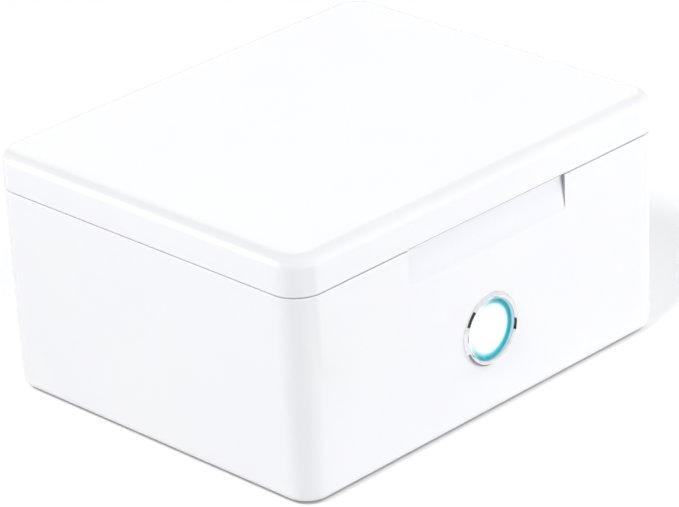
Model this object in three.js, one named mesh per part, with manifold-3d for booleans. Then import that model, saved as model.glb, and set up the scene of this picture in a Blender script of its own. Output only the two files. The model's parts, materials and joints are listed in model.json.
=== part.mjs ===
// Desktop hearing aid dryer: a white box with a hinged lid, a warm air chamber and one lit push button.
// Millimetres, +Z up, +X to the right seen from the front, the front faces -Y.
// The origin is under the middle of the whole object, on the surface that it stands on.
import * as THREE from 'three';
import { mergeVertices } from 'three/addons/utils/BufferGeometryUtils.js';
import Module from 'manifold-3d';

const wasm = await Module();
wasm.setup();

// Sizes of the case
const bodyWidth = 120;
const bodyDepth = 98;
const baseHeight = 50;
const lidHeight = 9.1;
const seamGap = 0.3;
const cornerRadius = 7.2;
const draftDegrees = 0.75;
const bottomRounding = 2;
const lidEdgeInset = 3.8;
const lidEdgeDrop = 2.6;
const rimWall = 2.2;
const lowerWall = 3;
const lidTopWall = 2.2;
const lidInnerRounding = 2;
const smallestRadius = 0.6;

// Clearances that neighbours share
const fitGap = 0.3;
const pegGap = 0.2;
const overrun = 1;

// Sizes of the finger recess under the lid
const recessWidth = 51.5;
const recessHeight = 8.7;
const recessDepth = 1.1;

// Sizes of the floor ring, the bottom cover, its feet and screws
const coverThickness = 2;
const shelfThickness = 1.6;
const coverInset = 5;
const coverCorner = 4;
const shelfInset = 9;
const shelfCorner = 16;
const screwInset = 10.5;
const screwBossRadius = 3.4;
const screwBossHeight = 8;
const screwShankRadius = 1.4;
const screwHeadRadius = 2.6;
const screwHeadHeight = 1.2;
const screwLength = 8;
const footRadius = 5;
const footThickness = 1.6;
const footStand = 0.8;
const footInset = 21;
const ventWidth = 2.2;
const ventPitch = 4.4;
const ventCount = 7;
const postHeight = 2.4;

// Sizes of the drying chamber
const deckRecess = 1.2;
const deckThickness = 1.8;
const chamberSideMargin = 12;
const chamberFrontMargin = 17;
const chamberRearMargin = 12.5;
const chamberCorner = 8;
const chamberFloorHeight = 21;
const linerWall = 1.6;
const linerFlange = 1.2;
const linerFlangeThickness = 0.8;
const plateThickness = 1.5;
const plateLegLength = 2.7;
const plateLegRadius = 2;
const slotWidth = 3.4;
const slotRib = 4.5;
const liftRib = 1.5;
const slotSideMargin = 10;
const slotEndMargin = 14.75;
const slotRows = 3;
const slotColumns = 11;

// Sizes of the fan and the heater above it
const fanHalfWidth = 20;
const fanHeight = 10;
const fanCorner = 3;
const fanRimWall = 1.2;
const fanHoleInset = 4;
const fanPegRadius = 1.5;
const fanBladeGap = 0.9;
const fanHubRadius = 9.4;
const fanHubWall = 1.1;
const fanBladeCount = 7;
const fanBladeThickness = 0.9;
const fanBladeRise = 6;
const fanShaftRadius = 1;
const fanBearingWall = 1.2;
const fanRootPitchDegrees = 48;
const fanTipPitchDegrees = 30;
const strutWidth = 2.4;
const strutThickness = 1.4;
const strutCount = 4;
const heaterFinCount = 9;
const heaterFinThickness = 0.7;
const heaterWall = 1.8;

// Sizes of the boards and what they carry
const boardThickness = 1.6;
const boardPegRadius = 1.2;
const boardPegInset = 3;
const boardPegRear = 14;
const fanBoardGap = 2;
const bossBoardGap = 1.1;
const boardFrontMargin = 21;
const boardRearMargin = 9;
const jackWidth = 9.4;
const jackDepth = 12;
const jackHeight = 9;
const jackBarrelRadius = 3.7;
const jackBoreRadius = 2.8;
const jackBoreDepth = 9.5;
const jackPinRadius = 0.7;
const jackRecess = 0.2;
const chipWidth = 7;
const chipLength = 10;
const chipHeight = 1.8;
const chipGap = 5;
const capacitorRadius = 4;
const capacitorHeight = 11;
const transformerMargin = 3.5;
const transformerGap = 0.2;
const transformerLength = 20;
const transformerShare = 0.74;
const coilShare = 0.42;

// Sizes of the lamp behind the chamber's rear wall
const windowSideMargin = 14;
const windowHeight = 6.6;
const windowLap = 1.6;
const windowThickness = 1;
const windowDrop = 2.6;
const lampRadius = 2.1;
const lampEndMargin = 3;
const lampSetBack = 4.9;
const reflectorRadius = 3.4;
const reflectorWall = 0.5;
const reflectorEndMargin = 5;
const holderLength = 6;
const holderHalfDepth = 3.4;

// Sizes of the lid's inner pieces
const panFlangeRise = 0.4;
const panFlangeThickness = 1.8;
const panHeight = 6.3;
const panWall = 1.2;
const gasketOffset = 0.6;
const gasketWidth = 2.8;
const lidPostRadius = 2.6;
const lidPostInset = 8.6;

// Sizes of the catch and the lid sensor
const magnetRadius = 3;
const magnetThickness = 2.2;
const magnetInset = 14;
const magnetSetBack = 7.8;
const keeperThickness = 1;
const cupWall = 1.2;
const sensorRadius = 1.1;
const sensorHalfLength = 6;
const sensorMagnetRadius = 2;

// Sizes of the hinges
const hingeInset = 26;
const hingeOut = 1.3;
const knuckleRadius = 2.2;
const knuckleClearance = 0.35;
const lidKnuckleLength = 12;
const baseKnuckleLength = 8;
const knuckleGap = 0.4;
const hingePinRadius = 1;
const hingeWebHeight = 5;
const hingeWebBite = 0.7;
const hingeWebDegrees = 40;

// Sizes of the push button
const buttonHeight = 21.2;
const buttonTravel = 0.8;
const bezelRadius = 8.8;
const bezelBore = 7.75;
const bezelStand = 0.75;
const bezelShoulderShare = 0.45;
const bezelSeatGap = 0.05;
const bezelSleeveWall = 0.4;
const bezelSleeveReach = 0.9;
const ringGap = 0.25;
const ringInnerRadius = 6.35;
const ringFaceDrop = 1.1;
const ringStepDepth = 2;
const ringStep = 0.4;
const ringFlangeDepth = 4.2;
const ringFlangeThickness = 1.2;
const ringLength = 7.4;
const capFaceDrop = 0.95;
const capCrown = 0.35;
const capThickness = 1.4;
const capSkirtWall = 1;
const capCollar = 0.4;
const capStemRadius = 1.5;
const plungerRadius = 1.7;
const plungerFront = 4.9;
const housingBore = 8.6;
const housingWall = 1.8;
const housingLip = 0.8;
const housingLipThickness = 1;
const housingFrontGap = 0.35;
const earRadius = 3;
const earThickness = 2;
const shellPegRadius = 1.4;
const boardFaceDepth = 8.6;
const buttonBoardRim = 0.6;
const buttonBoardThickness = 1.2;
const housingPegRadius = 0.9;
const switchHalf = 3;
const switchDepth = 3.1;
const switchFloor = 0.6;
const ledHalf = 0.8;
const ledDepth = 0.8;
const ledCount = 4;

// Steps of the round forms
const cornerSteps = 6;
const edgeSteps = 4;
const smallSteps = 8;
const barrelSteps = 16;
const roundSteps = 20;
const ringSteps = 36;
const bladeSteps = 3;
const slotEndSteps = 2;
const outlineSteps = 6;
const mergeTolerance = 1e-4;

// Values worked out from the sizes
const draft = Math.tan(THREE.MathUtils.degToRad(draftDegrees));
const ledgeHeight = baseHeight - deckRecess - deckThickness;
const deckTop = baseHeight - deckRecess;
const floorThickness = coverThickness + shelfThickness;
const screwX = bodyWidth / 2 - screwInset;
const screwY = bodyDepth / 2 - screwInset;
const footX = bodyWidth / 2 - footInset;
const footY = bodyDepth / 2 - footInset;
const fanBottom = coverThickness + postHeight;
const fanTop = fanBottom + fanHeight;
const fanHole = fanHalfWidth - fanHoleInset;
const fanBoreRadius = fanHalfWidth - fanRimWall;
const fanBladeRadius = fanBoreRadius - fanBladeGap;
const ductHalfWidth = fanHalfWidth - heaterWall - pegGap;
const chamberHalfWidth = bodyWidth / 2 - chamberSideMargin;
const chamberFront = bodyDepth / 2 - chamberFrontMargin;
const chamberRear = bodyDepth / 2 - chamberRearMargin;
const chamberHalfDepth = (chamberRear + chamberFront) / 2;
const fanCentre = (chamberRear - chamberFront) / 2;
const plateHeight = chamberFloorHeight + linerWall + plateLegLength;
const slotPitch = (chamberHalfWidth - slotSideMargin) * 2 / (slotColumns - 1);
const slotRowPitch = (chamberHalfDepth - slotEndMargin) * 2 / (slotRows - 1);
const slotLength = slotRowPitch - slotRib;
const liftWidth = 2 * (slotPitch - slotWidth / 2 - liftRib);
const boardHeight = coverThickness + postHeight;
const boardTop = boardHeight + boardThickness;
const boardInner = fanHalfWidth + fanBoardGap;
const boardOuter = screwX - screwBossRadius - bossBoardGap;
const boardHalfWidth = (boardOuter - boardInner) / 2;
const boardOffset = (boardOuter + boardInner) / 2;
const boardFront = bodyDepth / 2 - boardFrontMargin;
const boardRear = bodyDepth / 2 - boardRearMargin;
const transformerRoom = chamberFloorHeight - transformerGap - boardTop;
const transformerWidth = 2 * (boardHalfWidth - transformerMargin);
const transformerHeight = transformerRoom * transformerShare;
const coilRadius = transformerRoom * coilShare;
const windowHalfWidth = chamberHalfWidth - windowSideMargin;
const lampHalfLength = windowHalfWidth - lampEndMargin;
const reflectorHalfLength = lampHalfLength - reflectorEndMargin;
const magnetSpread = bodyWidth / 2 - magnetInset;
const magnetY = -(bodyDepth / 2 - magnetSetBack);
const hingeSpread = bodyWidth / 2 - hingeInset;
const hingeLine = bodyDepth / 2 + hingeOut;
const hingeHeight = baseHeight + seamGap / 2;
const lidBottom = baseHeight + seamGap;
const wallAtButton = bodyDepth / 2 - draft * (baseHeight - buttonHeight);
const bezelBack = -draft * bezelRadius - bezelSeatGap;
const bezelFront = bezelBack - bezelStand;
const rearReach = hingeLine + knuckleRadius;
const frontReach = wallAtButton - bezelFront;
const ringOuterRadius = bezelBore - ringGap;
const ringFlangeRadius = housingBore - fitGap;
const ledRingRadius = (ringInnerRadius + ringStep + ringOuterRadius) / 2;
const capRadius = ringInnerRadius - fitGap;
const capSkirtEnd = plungerFront - fitGap;
const plungerEnd = boardFaceDepth - switchFloor - pegGap - buttonTravel;
const earSpread = housingBore + housingWall + earRadius;
const buttonBoardHalf = housingBore + housingWall + buttonBoardRim;
const bodyShift = (frontReach - rearReach) / 2;

const whiteGloss = new THREE.MeshStandardMaterial({ color: 0xf6f7f9, roughness: 0.22, metalness: 0 });
const whiteSatin = new THREE.MeshStandardMaterial({ color: 0xe9eaec, roughness: 0.45, metalness: 0 });
const silverCoat = new THREE.MeshStandardMaterial({ color: 0xc9ccd0, roughness: 0.25, metalness: 0.9 });
const chrome = new THREE.MeshStandardMaterial({ color: 0xd8dadd, roughness: 0.08, metalness: 1 });
const steel = new THREE.MeshStandardMaterial({ color: 0xa9acb0, roughness: 0.35, metalness: 1 });
const aluminium = new THREE.MeshStandardMaterial({ color: 0xbfc2c5, roughness: 0.4, metalness: 1 });
const nickel = new THREE.MeshStandardMaterial({ color: 0xb9b6ae, roughness: 0.2, metalness: 1 });
const tealLight = new THREE.MeshStandardMaterial({ color: 0x62bbc3, roughness: 0.3, metalness: 0 });
const milkyWhite = new THREE.MeshStandardMaterial({ color: 0xfafcfd, roughness: 0.3, metalness: 0 });
const blackPlastic = new THREE.MeshStandardMaterial({ color: 0x1d1e20, roughness: 0.5, metalness: 0 });
const greenBoard = new THREE.MeshStandardMaterial({ color: 0x1f6b3a, roughness: 0.5, metalness: 0 });
const greyRubber = new THREE.MeshStandardMaterial({ color: 0x8d9094, roughness: 0.85, metalness: 0 });
const clearGlass = new THREE.MeshStandardMaterial({ color: 0xdfeaf2, roughness: 0.05, metalness: 0 });
const ceramic = new THREE.MeshStandardMaterial({ color: 0xe8e4da, roughness: 0.6, metalness: 0 });
const copper = new THREE.MeshStandardMaterial({ color: 0xb06a3a, roughness: 0.4, metalness: 1 });

// A closed mesh: shared vertices merged, collapsed triangles dropped and faces pointing out
function closedMesh(geometry) {
  const bare = geometry.clone();
  bare.deleteAttribute('normal');
  bare.deleteAttribute('uv');
  bare.clearGroups();
  const merged = mergeVertices(bare, mergeTolerance);
  const index = merged.index.array;
  const position = merged.getAttribute('position');
  const corners = [new THREE.Vector3(), new THREE.Vector3(), new THREE.Vector3()];
  const kept = [];
  let volume = 0;
  for (let i = 0; i < index.length; i += 3) {
    const triangle = [index[i], index[i + 1], index[i + 2]];
    if (new Set(triangle).size < 3) continue;
    kept.push(...triangle);
    corners.forEach((corner, k) => corner.fromBufferAttribute(position, triangle[k]));
    volume += corners[0].dot(corners[1].clone().cross(corners[2]));
  }
  if (volume < 0) kept.reverse();
  merged.setIndex(kept);
  return merged;
}

function toSolid(geometry) {
  const mesh = closedMesh(geometry);
  const vertProperties = new Float32Array(mesh.getAttribute('position').array);
  const triVerts = new Uint32Array(mesh.index.array);
  return new wasm.Manifold(new wasm.Mesh({ numProp: 3, vertProperties, triVerts }));
}

function toGeometry(solid) {
  const mesh = solid.getMesh();
  const geometry = new THREE.BufferGeometry();
  geometry.setAttribute('position', new THREE.BufferAttribute(new Float32Array(mesh.vertProperties), 3));
  geometry.setIndex(new THREE.BufferAttribute(new Uint32Array(mesh.triVerts), 1));
  return geometry;
}

function join(...geometries) {
  return toGeometry(geometries.map(toSolid).reduce((sum, solid) => sum.add(solid)));
}

function cut(geometry, ...tools) {
  return toGeometry(tools.map(toSolid).reduce((rest, tool) => rest.subtract(tool), toSolid(geometry)));
}

// Points round a rectangle with round corners, centred on (0, middle)
function roundedRectangle(halfX, halfY, radius, middle = 0) {
  const points = [];
  const quarters = [[1, 1], [-1, 1], [-1, -1], [1, -1]];
  quarters.forEach(([signX, signY], quarter) => {
    for (let step = 0; step <= cornerSteps; step += 1) {
      const angle = (quarter + step / cornerSteps) * Math.PI / 2;
      const x = signX * (halfX - radius) + radius * Math.cos(angle);
      const y = signY * (halfY - radius) + radius * Math.sin(angle);
      points.push(new THREE.Vector2(x, y + middle));
    }
  });
  return points;
}

// A solid through level outlines, from the lowest up; each level holds its height and its points
function loft(levels) {
  const count = levels[0].points.length;
  const positions = [];
  for (const { height, points } of levels) {
    for (const point of points) positions.push(point.x, point.y, height);
  }
  const index = [];
  for (let level = 0; level + 1 < levels.length; level += 1) {
    for (let k = 0; k < count; k += 1) {
      const a = level * count + k;
      const b = level * count + (k + 1) % count;
      index.push(a, b, b + count, a, b + count, a + count);
    }
  }
  for (const [level, turn] of [[0, 1], [levels.length - 1, 0]]) {
    const { height, points } = levels[level];
    const middle = points.reduce((sum, point) => sum.add(point), new THREE.Vector2()).divideScalar(count);
    const hub = positions.length / 3;
    positions.push(middle.x, middle.y, height);
    for (let k = 0; k < count; k += 1) {
      const a = level * count + k;
      const b = level * count + (k + 1) % count;
      index.push(hub, turn ? b : a, turn ? a : b);
    }
  }
  const geometry = new THREE.BufferGeometry();
  geometry.setAttribute('position', new THREE.Float32BufferAttribute(positions, 3));
  geometry.setIndex(index);
  return geometry;
}

// A prism of an outline, given as points, between two heights
function prism(points, low, high) {
  const shape = points instanceof THREE.Shape ? points : new THREE.Shape(points);
  const geometry = new THREE.ExtrudeGeometry(shape, { depth: high - low, bevelEnabled: false, curveSegments: outlineSteps });
  return geometry.translate(0, 0, low);
}

// The same prism laid along X: the outline's first value becomes Y and its second becomes Z
function prismAlongX(points, low, high) {
  const turn = new THREE.Matrix4().set(0, 0, 1, 0, 1, 0, 0, 0, 0, 1, 0, 0, 0, 0, 0, 1);
  return prism(points, low, high).applyMatrix4(turn);
}

function block(lowX, highX, lowY, highY, lowZ, highZ) {
  const geometry = new THREE.BoxGeometry(highX - lowX, highY - lowY, highZ - lowZ);
  return geometry.translate((lowX + highX) / 2, (lowY + highY) / 2, (lowZ + highZ) / 2);
}

function uprightRod(x, y, radius, low, high, steps = smallSteps) {
  const geometry = new THREE.CylinderGeometry(radius, radius, high - low, steps);
  return geometry.rotateX(Math.PI / 2).translate(x, y, (low + high) / 2);
}

function rodAlongX(y, z, radius, low, high, steps = smallSteps) {
  const geometry = new THREE.CylinderGeometry(radius, radius, high - low, steps);
  return geometry.rotateZ(Math.PI / 2).translate((low + high) / 2, y, z);
}

function rodAlongY(x, z, radius, low, high, steps = smallSteps) {
  const geometry = new THREE.CylinderGeometry(radius, radius, high - low, steps);
  return geometry.translate(x, (low + high) / 2, z);
}

// A body of revolution round Y from pairs of radius and depth that close on themselves or on the axis
function turnedAlongY(profile, steps = ringSteps) {
  return new THREE.LatheGeometry(profile.map(([radius, depth]) => new THREE.Vector2(radius, depth)), steps);
}

function turnedUpright(profile, steps = ringSteps) {
  return turnedAlongY(profile, steps).rotateX(Math.PI / 2);
}

function addPiece(group, name, geometry, material) {
  const mesh = new THREE.Mesh(closedMesh(geometry), material);
  mesh.name = name;
  group.add(mesh);
  return mesh;
}

// The case's outline at a height, drawn in by the draft of its walls and by an inset
function caseLevel(height, inset, radius) {
  const drawnIn = inset + draft * Math.max(baseHeight - height, 0);
  const corner = radius ?? Math.max(cornerRadius - drawnIn, smallestRadius);
  return { height, points: roundedRectangle(bodyWidth / 2 - drawnIn, bodyDepth / 2 - drawnIn, corner) };
}

// The lid's outline, with straight walls
function lidLevel(height, inset) {
  const corner = Math.max(cornerRadius - inset, smallestRadius);
  return { height, points: roundedRectangle(bodyWidth / 2 - inset, bodyDepth / 2 - inset, corner) };
}

// The chamber's outline at a height, drawn in by the same draft below the deck
function chamberLevel(height, inset) {
  const drawnIn = inset + draft * Math.max(deckTop - height, 0);
  const corner = Math.max(chamberCorner - drawnIn, smallestRadius);
  const points = roundedRectangle(chamberHalfWidth - drawnIn, chamberHalfDepth - drawnIn, corner, fanCentre);
  return { height, points };
}

// Places given by signs towards the four corners
const fourCorners = [
  ['front_left', -1, -1],
  ['front_right', 1, -1],
  ['rear_left', -1, 1],
  ['rear_right', 1, 1],
];

// Hinge outlines in Y and Z, seen along the pin and measured from its axis; side is 1 for the lid, -1 for the base
function hingeWeb(side) {
  const angle = THREE.MathUtils.degToRad(hingeWebDegrees);
  const wall = -(hingeOut + hingeWebBite);
  const points = [
    new THREE.Vector2(wall, side * seamGap / 2),
    new THREE.Vector2(0, 0),
    new THREE.Vector2(knuckleRadius * Math.cos(angle), side * knuckleRadius * Math.sin(angle)),
    new THREE.Vector2(wall, side * hingeWebHeight),
  ];
  return side > 0 ? points : points.reverse();
}

const groupHalf = lidKnuckleLength / 2 + knuckleGap + baseKnuckleLength;

// One hinge's stretches along X, as [low, high] for the base's pair and the lid's one knuckle
function baseStretches(middle) {
  const near = lidKnuckleLength / 2 + knuckleGap;
  return [[middle - groupHalf, middle - near], [middle + near, middle + groupHalf]];
}

function lidStretch(middle) {
  return [middle - lidKnuckleLength / 2, middle + lidKnuckleLength / 2];
}

function knuckle(side, [low, high]) {
  const web = prismAlongX(hingeWeb(side), low, high).translate(0, hingeLine, hingeHeight);
  const barrel = rodAlongX(hingeLine, hingeHeight, knuckleRadius, low, high, barrelSteps);
  return join(web, barrel);
}

function knuckleNotch([low, high]) {
  const radius = knuckleRadius + knuckleClearance;
  return rodAlongX(hingeLine, hingeHeight, radius, low - knuckleGap, high + knuckleGap, barrelSteps);
}

const pinBores = [-hingeSpread, hingeSpread].map((middle) => rodAlongX(
  hingeLine,
  hingeHeight,
  hingePinRadius + fitGap,
  middle - groupHalf - overrun,
  middle + groupHalf + overrun,
));

// Base: the open shell with its floor ring, ledge, recess, hinge knuckles and wall openings
function baseShell() {
  const levels = [];
  for (let step = 0; step <= edgeSteps; step += 1) {
    const angle = step / edgeSteps * Math.PI / 2;
    const height = bottomRounding * (1 - Math.cos(angle));
    levels.push(caseLevel(height, bottomRounding * (1 - Math.sin(angle))));
  }
  levels.push(caseLevel(baseHeight, 0));
  const outside = loft(levels);
  const inside = loft([
    caseLevel(-overrun, coverInset, coverCorner),
    caseLevel(coverThickness, coverInset, coverCorner),
    caseLevel(coverThickness, shelfInset, shelfCorner),
    caseLevel(floorThickness, shelfInset, shelfCorner),
    caseLevel(floorThickness, lowerWall),
    caseLevel(ledgeHeight, lowerWall),
    caseLevel(ledgeHeight, rimWall),
    caseLevel(baseHeight + overrun, rimWall),
  ]);
  const face = -bodyDepth / 2;
  const recessFoot = baseHeight - recessHeight;
  const recess = prismAlongX([
    new THREE.Vector2(face - overrun, recessFoot),
    new THREE.Vector2(face + draft * recessHeight, recessFoot),
    new THREE.Vector2(face + recessDepth, baseHeight),
    new THREE.Vector2(face + recessDepth, baseHeight + overrun),
    new THREE.Vector2(face - overrun, baseHeight + overrun),
  ], -recessWidth / 2, recessWidth / 2);
  const lidNotches = [-hingeSpread, hingeSpread].map((middle) => knuckleNotch(lidStretch(middle)));
  const knuckles = [-hingeSpread, hingeSpread].flatMap((middle) => baseStretches(middle).map(
    (stretch) => knuckle(-1, stretch),
  ));
  const bosses = fourCorners.map(([, signX, signY]) => uprightRod(
    signX * screwX,
    signY * screwY,
    screwBossRadius,
    coverThickness,
    floorThickness + screwBossHeight,
  ));
  const bossHoles = fourCorners.map(([, signX, signY]) => uprightRod(
    signX * screwX,
    signY * screwY,
    screwShankRadius + pegGap,
    coverThickness - overrun,
    coverThickness + screwLength,
  ));
  const pegs = [-1, 1].map((sign) => rodAlongY(
    sign * earSpread,
    buttonHeight,
    shellPegRadius,
    -wallAtButton + lowerWall - overrun,
    -wallAtButton + lowerWall + housingFrontGap + earThickness,
  ));
  const buttonHole = rodAlongY(
    0,
    buttonHeight,
    bezelBore + bezelSleeveWall + fitGap,
    -bodyDepth / 2 - overrun,
    -wallAtButton + lowerWall + overrun,
    ringSteps,
  );
  const jackHole = rodAlongY(
    boardOffset,
    boardHeight + boardThickness + jackHeight / 2,
    jackBarrelRadius + fitGap,
    bodyDepth / 2 - lowerWall - overrun - draft * baseHeight,
    bodyDepth / 2 + overrun,
    roundSteps,
  );
  const walls = cut(outside, inside, recess, ...lidNotches);
  return cut(join(walls, ...knuckles, ...bosses, ...pegs), ...bossHoles, buttonHole, jackHole, ...pinBores);
}

// The bottom cover: a flush plate with intake slots under the fan, posts for the fan and the boards
function bottomCover() {
  const outline = caseLevel(0, coverInset + fitGap, coverCorner).points;
  const plate = prism(outline, 0, coverThickness);
  const slots = [];
  for (let k = 0; k < ventCount; k += 1) {
    const x = (k - (ventCount - 1) / 2) * ventPitch;
    const reach = Math.sqrt(Math.max(fanBoreRadius ** 2 - x ** 2, ventPitch ** 2)) - ventWidth;
    slots.push(block(x - ventWidth / 2, x + ventWidth / 2, fanCentre - reach, fanCentre + reach,
      -overrun, coverThickness + overrun));
  }
  const posts = [];
  for (const [, signX, signY] of fourCorners) {
    const x = signX * fanHole;
    const y = fanCentre + signY * fanHole;
    posts.push(uprightRod(x, y, fanHoleInset - fitGap, coverThickness / 2, fanBottom));
    posts.push(uprightRod(x, y, fanPegRadius, coverThickness / 2, fanTop - fitGap));
  }
  for (const side of [-1, 1]) {
    for (const [x, y] of boardCorners(side)) {
      posts.push(uprightRod(x, y, boardPegInset - fitGap, coverThickness / 2, boardHeight));
      posts.push(uprightRod(x, y, boardPegRadius, coverThickness / 2, boardHeight + boardThickness + fitGap));
    }
  }
  const sinks = fourCorners.flatMap(([, signX, signY]) => [
    uprightRod(signX * footX, signY * footY, footRadius + fitGap, -overrun, footThickness - footStand, roundSteps),
    uprightRod(signX * screwX, signY * screwY, screwHeadRadius + fitGap, -overrun, screwHeadHeight),
    uprightRod(signX * screwX, signY * screwY, screwShankRadius + pegGap, -overrun, coverThickness + overrun),
  ]);
  return cut(join(plate, ...posts), ...slots, ...sinks);
}

function boardCorners(side) {
  const places = [];
  for (const x of [-1, 1]) {
    const across = side * boardOffset + x * (boardHalfWidth - boardPegInset);
    places.push([across, -boardFront + boardPegInset]);
    places.push([across, boardRear - boardPegRear]);
  }
  return places;
}

function foot([, signX, signY]) {
  const top = footThickness - footStand;
  const edge = footStand / 2;
  const profile = [
    [0, -footStand],
    [footRadius - edge, -footStand],
    [footRadius, -footStand + edge],
    [footRadius, top],
    [0, top],
  ];
  return turnedUpright(profile, roundSteps).translate(signX * footX, signY * footY, 0);
}

function coverScrew([, signX, signY]) {
  const tip = coverThickness + screwLength - fitGap;
  const profile = [
    [0, 0],
    [screwHeadRadius, 0],
    [screwHeadRadius, screwHeadHeight],
    [screwShankRadius, screwHeadHeight],
    [screwShankRadius, tip - screwShankRadius],
    [screwShankRadius / 2, tip],
    [0, tip],
  ];
  return turnedUpright(profile, smallSteps).translate(signX * screwX, signY * screwY, 0);
}

// The deck lies on the shell's ledge round the chamber's mouth, with cups for the magnets under it
function chamberDeck() {
  const deck = loft([caseLevel(ledgeHeight, rimWall + fitGap), caseLevel(deckTop, rimWall + fitGap)]);
  const mouth = loft([
    chamberLevel(ledgeHeight - overrun, linerWall),
    chamberLevel(deckTop + overrun, linerWall),
  ]);
  const cups = [-1, 1].map((sign) => uprightRod(sign * magnetSpread, magnetY, magnetRadius + fitGap + cupWall,
    deckTop - magnetThickness - cupWall, deckTop, roundSteps));
  const pockets = [-1, 1].map((sign) => uprightRod(sign * magnetSpread, magnetY, magnetRadius + fitGap,
    deckTop - magnetThickness, deckTop + overrun, roundSteps));
  return cut(join(deck, ...cups), mouth, ...pockets);
}

// The chamber hangs from the deck by its flange: a deep well with the duct's hole and the lamp's window slot
function chamberLiner() {
  const well = loft([chamberLevel(chamberFloorHeight, 0), chamberLevel(ledgeHeight, 0)]);
  const flange = loft([
    chamberLevel(ledgeHeight - linerFlangeThickness, -linerFlange),
    chamberLevel(ledgeHeight, -linerFlange),
  ]);
  const hollow = loft([
    chamberLevel(chamberFloorHeight + linerWall, linerWall),
    chamberLevel(ledgeHeight + overrun, linerWall),
  ]);
  const duct = block(-ductHalfWidth, ductHalfWidth, fanCentre - ductHalfWidth, fanCentre + ductHalfWidth,
    chamberFloorHeight - overrun, chamberFloorHeight + linerWall + overrun);
  const slotTop = ledgeHeight - windowDrop;
  const slot = block(-windowHalfWidth, windowHalfWidth, chamberRear - linerWall - overrun, chamberRear + overrun,
    slotTop - windowHeight, slotTop);
  return cut(join(well, flange), hollow, duct, slot);
}

// The slotted plate over the chamber's floor, on short legs; the middle slot is wide enough to lift it by
function diffuserPlate() {
  const outline = chamberLevel(plateHeight, linerWall + fitGap).points;
  const shape = new THREE.Shape(outline);
  const middleRow = (slotRows - 1) / 2;
  const middleColumn = (slotColumns - 1) / 2;
  for (let row = 0; row < slotRows; row += 1) {
    const y = fanCentre + (row - middleRow) * slotRowPitch;
    for (let column = 0; column < slotColumns; column += 1) {
      const x = (column - middleColumn) * slotPitch;
      const width = row === middleRow && column === middleColumn ? liftWidth : slotWidth;
      const end = Math.min(width, slotLength) / 2;
      const straight = slotLength / 2 - end;
      const hole = new THREE.Path();
      hole.absarc(x, y + straight, end, 0, Math.PI, false);
      hole.absarc(x, y - straight, end, Math.PI, 2 * Math.PI, false);
      hole.closePath();
      shape.holes.push(hole);
    }
  }
  const extrusion = { depth: plateThickness, bevelEnabled: false, curveSegments: slotEndSteps };
  const plate = new THREE.ExtrudeGeometry(shape, extrusion).translate(0, 0, plateHeight);
  const legX = chamberHalfWidth - linerWall - 2 * plateLegRadius;
  const legY = chamberHalfDepth - linerWall - 2 * plateLegRadius;
  const legs = fourCorners.map(([, signX, signY]) => uprightRod(signX * legX, fanCentre + signY * legY,
    plateLegRadius, chamberFloorHeight + linerWall, plateHeight + plateThickness / 2));
  return join(plate, ...legs);
}

function fanFrame() {
  const outline = roundedRectangle(fanHalfWidth, fanHalfWidth, fanCorner);
  const bore = uprightRod(0, 0, fanBoreRadius, -overrun, fanHeight + overrun, ringSteps);
  const holes = fourCorners.map(([, signX, signY]) => uprightRod(signX * fanHole, signY * fanHole,
    fanPegRadius + pegGap, -overrun, fanHeight + overrun));
  const walls = cut(prism(outline, 0, fanHeight), bore, ...holes);
  const reach = fanBoreRadius + (fanHalfWidth - fanBoreRadius) / 2;
  const struts = [];
  for (let k = 0; k < strutCount; k += 1) {
    const strut = block(0, reach, -strutWidth / 2, strutWidth / 2, 0, strutThickness);
    struts.push(strut.rotateZ(k / strutCount * 2 * Math.PI));
  }
  const base = uprightRod(0, 0, fanHubRadius - fanHubWall, 0, strutThickness, roundSteps);
  const tube = uprightRod(0, 0, fanShaftRadius + pegGap + fanBearingWall, 0, fanHeight / 2, roundSteps);
  const bearing = uprightRod(0, 0, fanShaftRadius + pegGap, strutThickness / 2, fanHeight, smallSteps);
  return cut(join(walls, ...struts, base, tube), bearing);
}

// One blade: a thin plate from hub to tip whose pitch falls off towards the tip
function fanBlade(turn) {
  const positions = [];
  const index = [];
  const inner = fanHubRadius - fanHubWall / 2;
  for (let step = 0; step <= bladeSteps; step += 1) {
    const share = step / bladeSteps;
    const radius = inner + share * (fanBladeRadius - inner);
    const pitch = THREE.MathUtils.degToRad(fanRootPitchDegrees
      + share * (fanTipPitchDegrees - fanRootPitchDegrees));
    const run = fanBladeRise / 2 / Math.tan(pitch);
    const half = fanBladeThickness / 2 / Math.sin(pitch);
    const section = [[-run - half, -1], [-run + half, -1], [run + half, 1], [run - half, 1]];
    for (const [along, up] of section) {
      const angle = along / radius;
      positions.push(radius * Math.cos(angle), radius * Math.sin(angle), up * fanBladeRise / 2);
    }
  }
  const corners = positions.length / 3 / (bladeSteps + 1);
  const last = bladeSteps * corners;
  for (let start = 0; start < last; start += corners) {
    for (let k = 0; k < corners; k += 1) {
      const a = start + k;
      const b = start + (k + 1) % corners;
      index.push(a, b, b + corners, a, b + corners, a + corners);
    }
  }
  index.push(0, 2, 1, 0, 3, 2, last, last + 1, last + 2, last, last + 2, last + 3);
  const geometry = new THREE.BufferGeometry();
  geometry.setAttribute('position', new THREE.Float32BufferAttribute(positions, 3));
  geometry.setIndex(index);
  const middle = strutThickness + fitGap + (fanHeight - strutThickness) / 2;
  return geometry.translate(0, 0, middle).rotateZ(turn);
}

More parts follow.
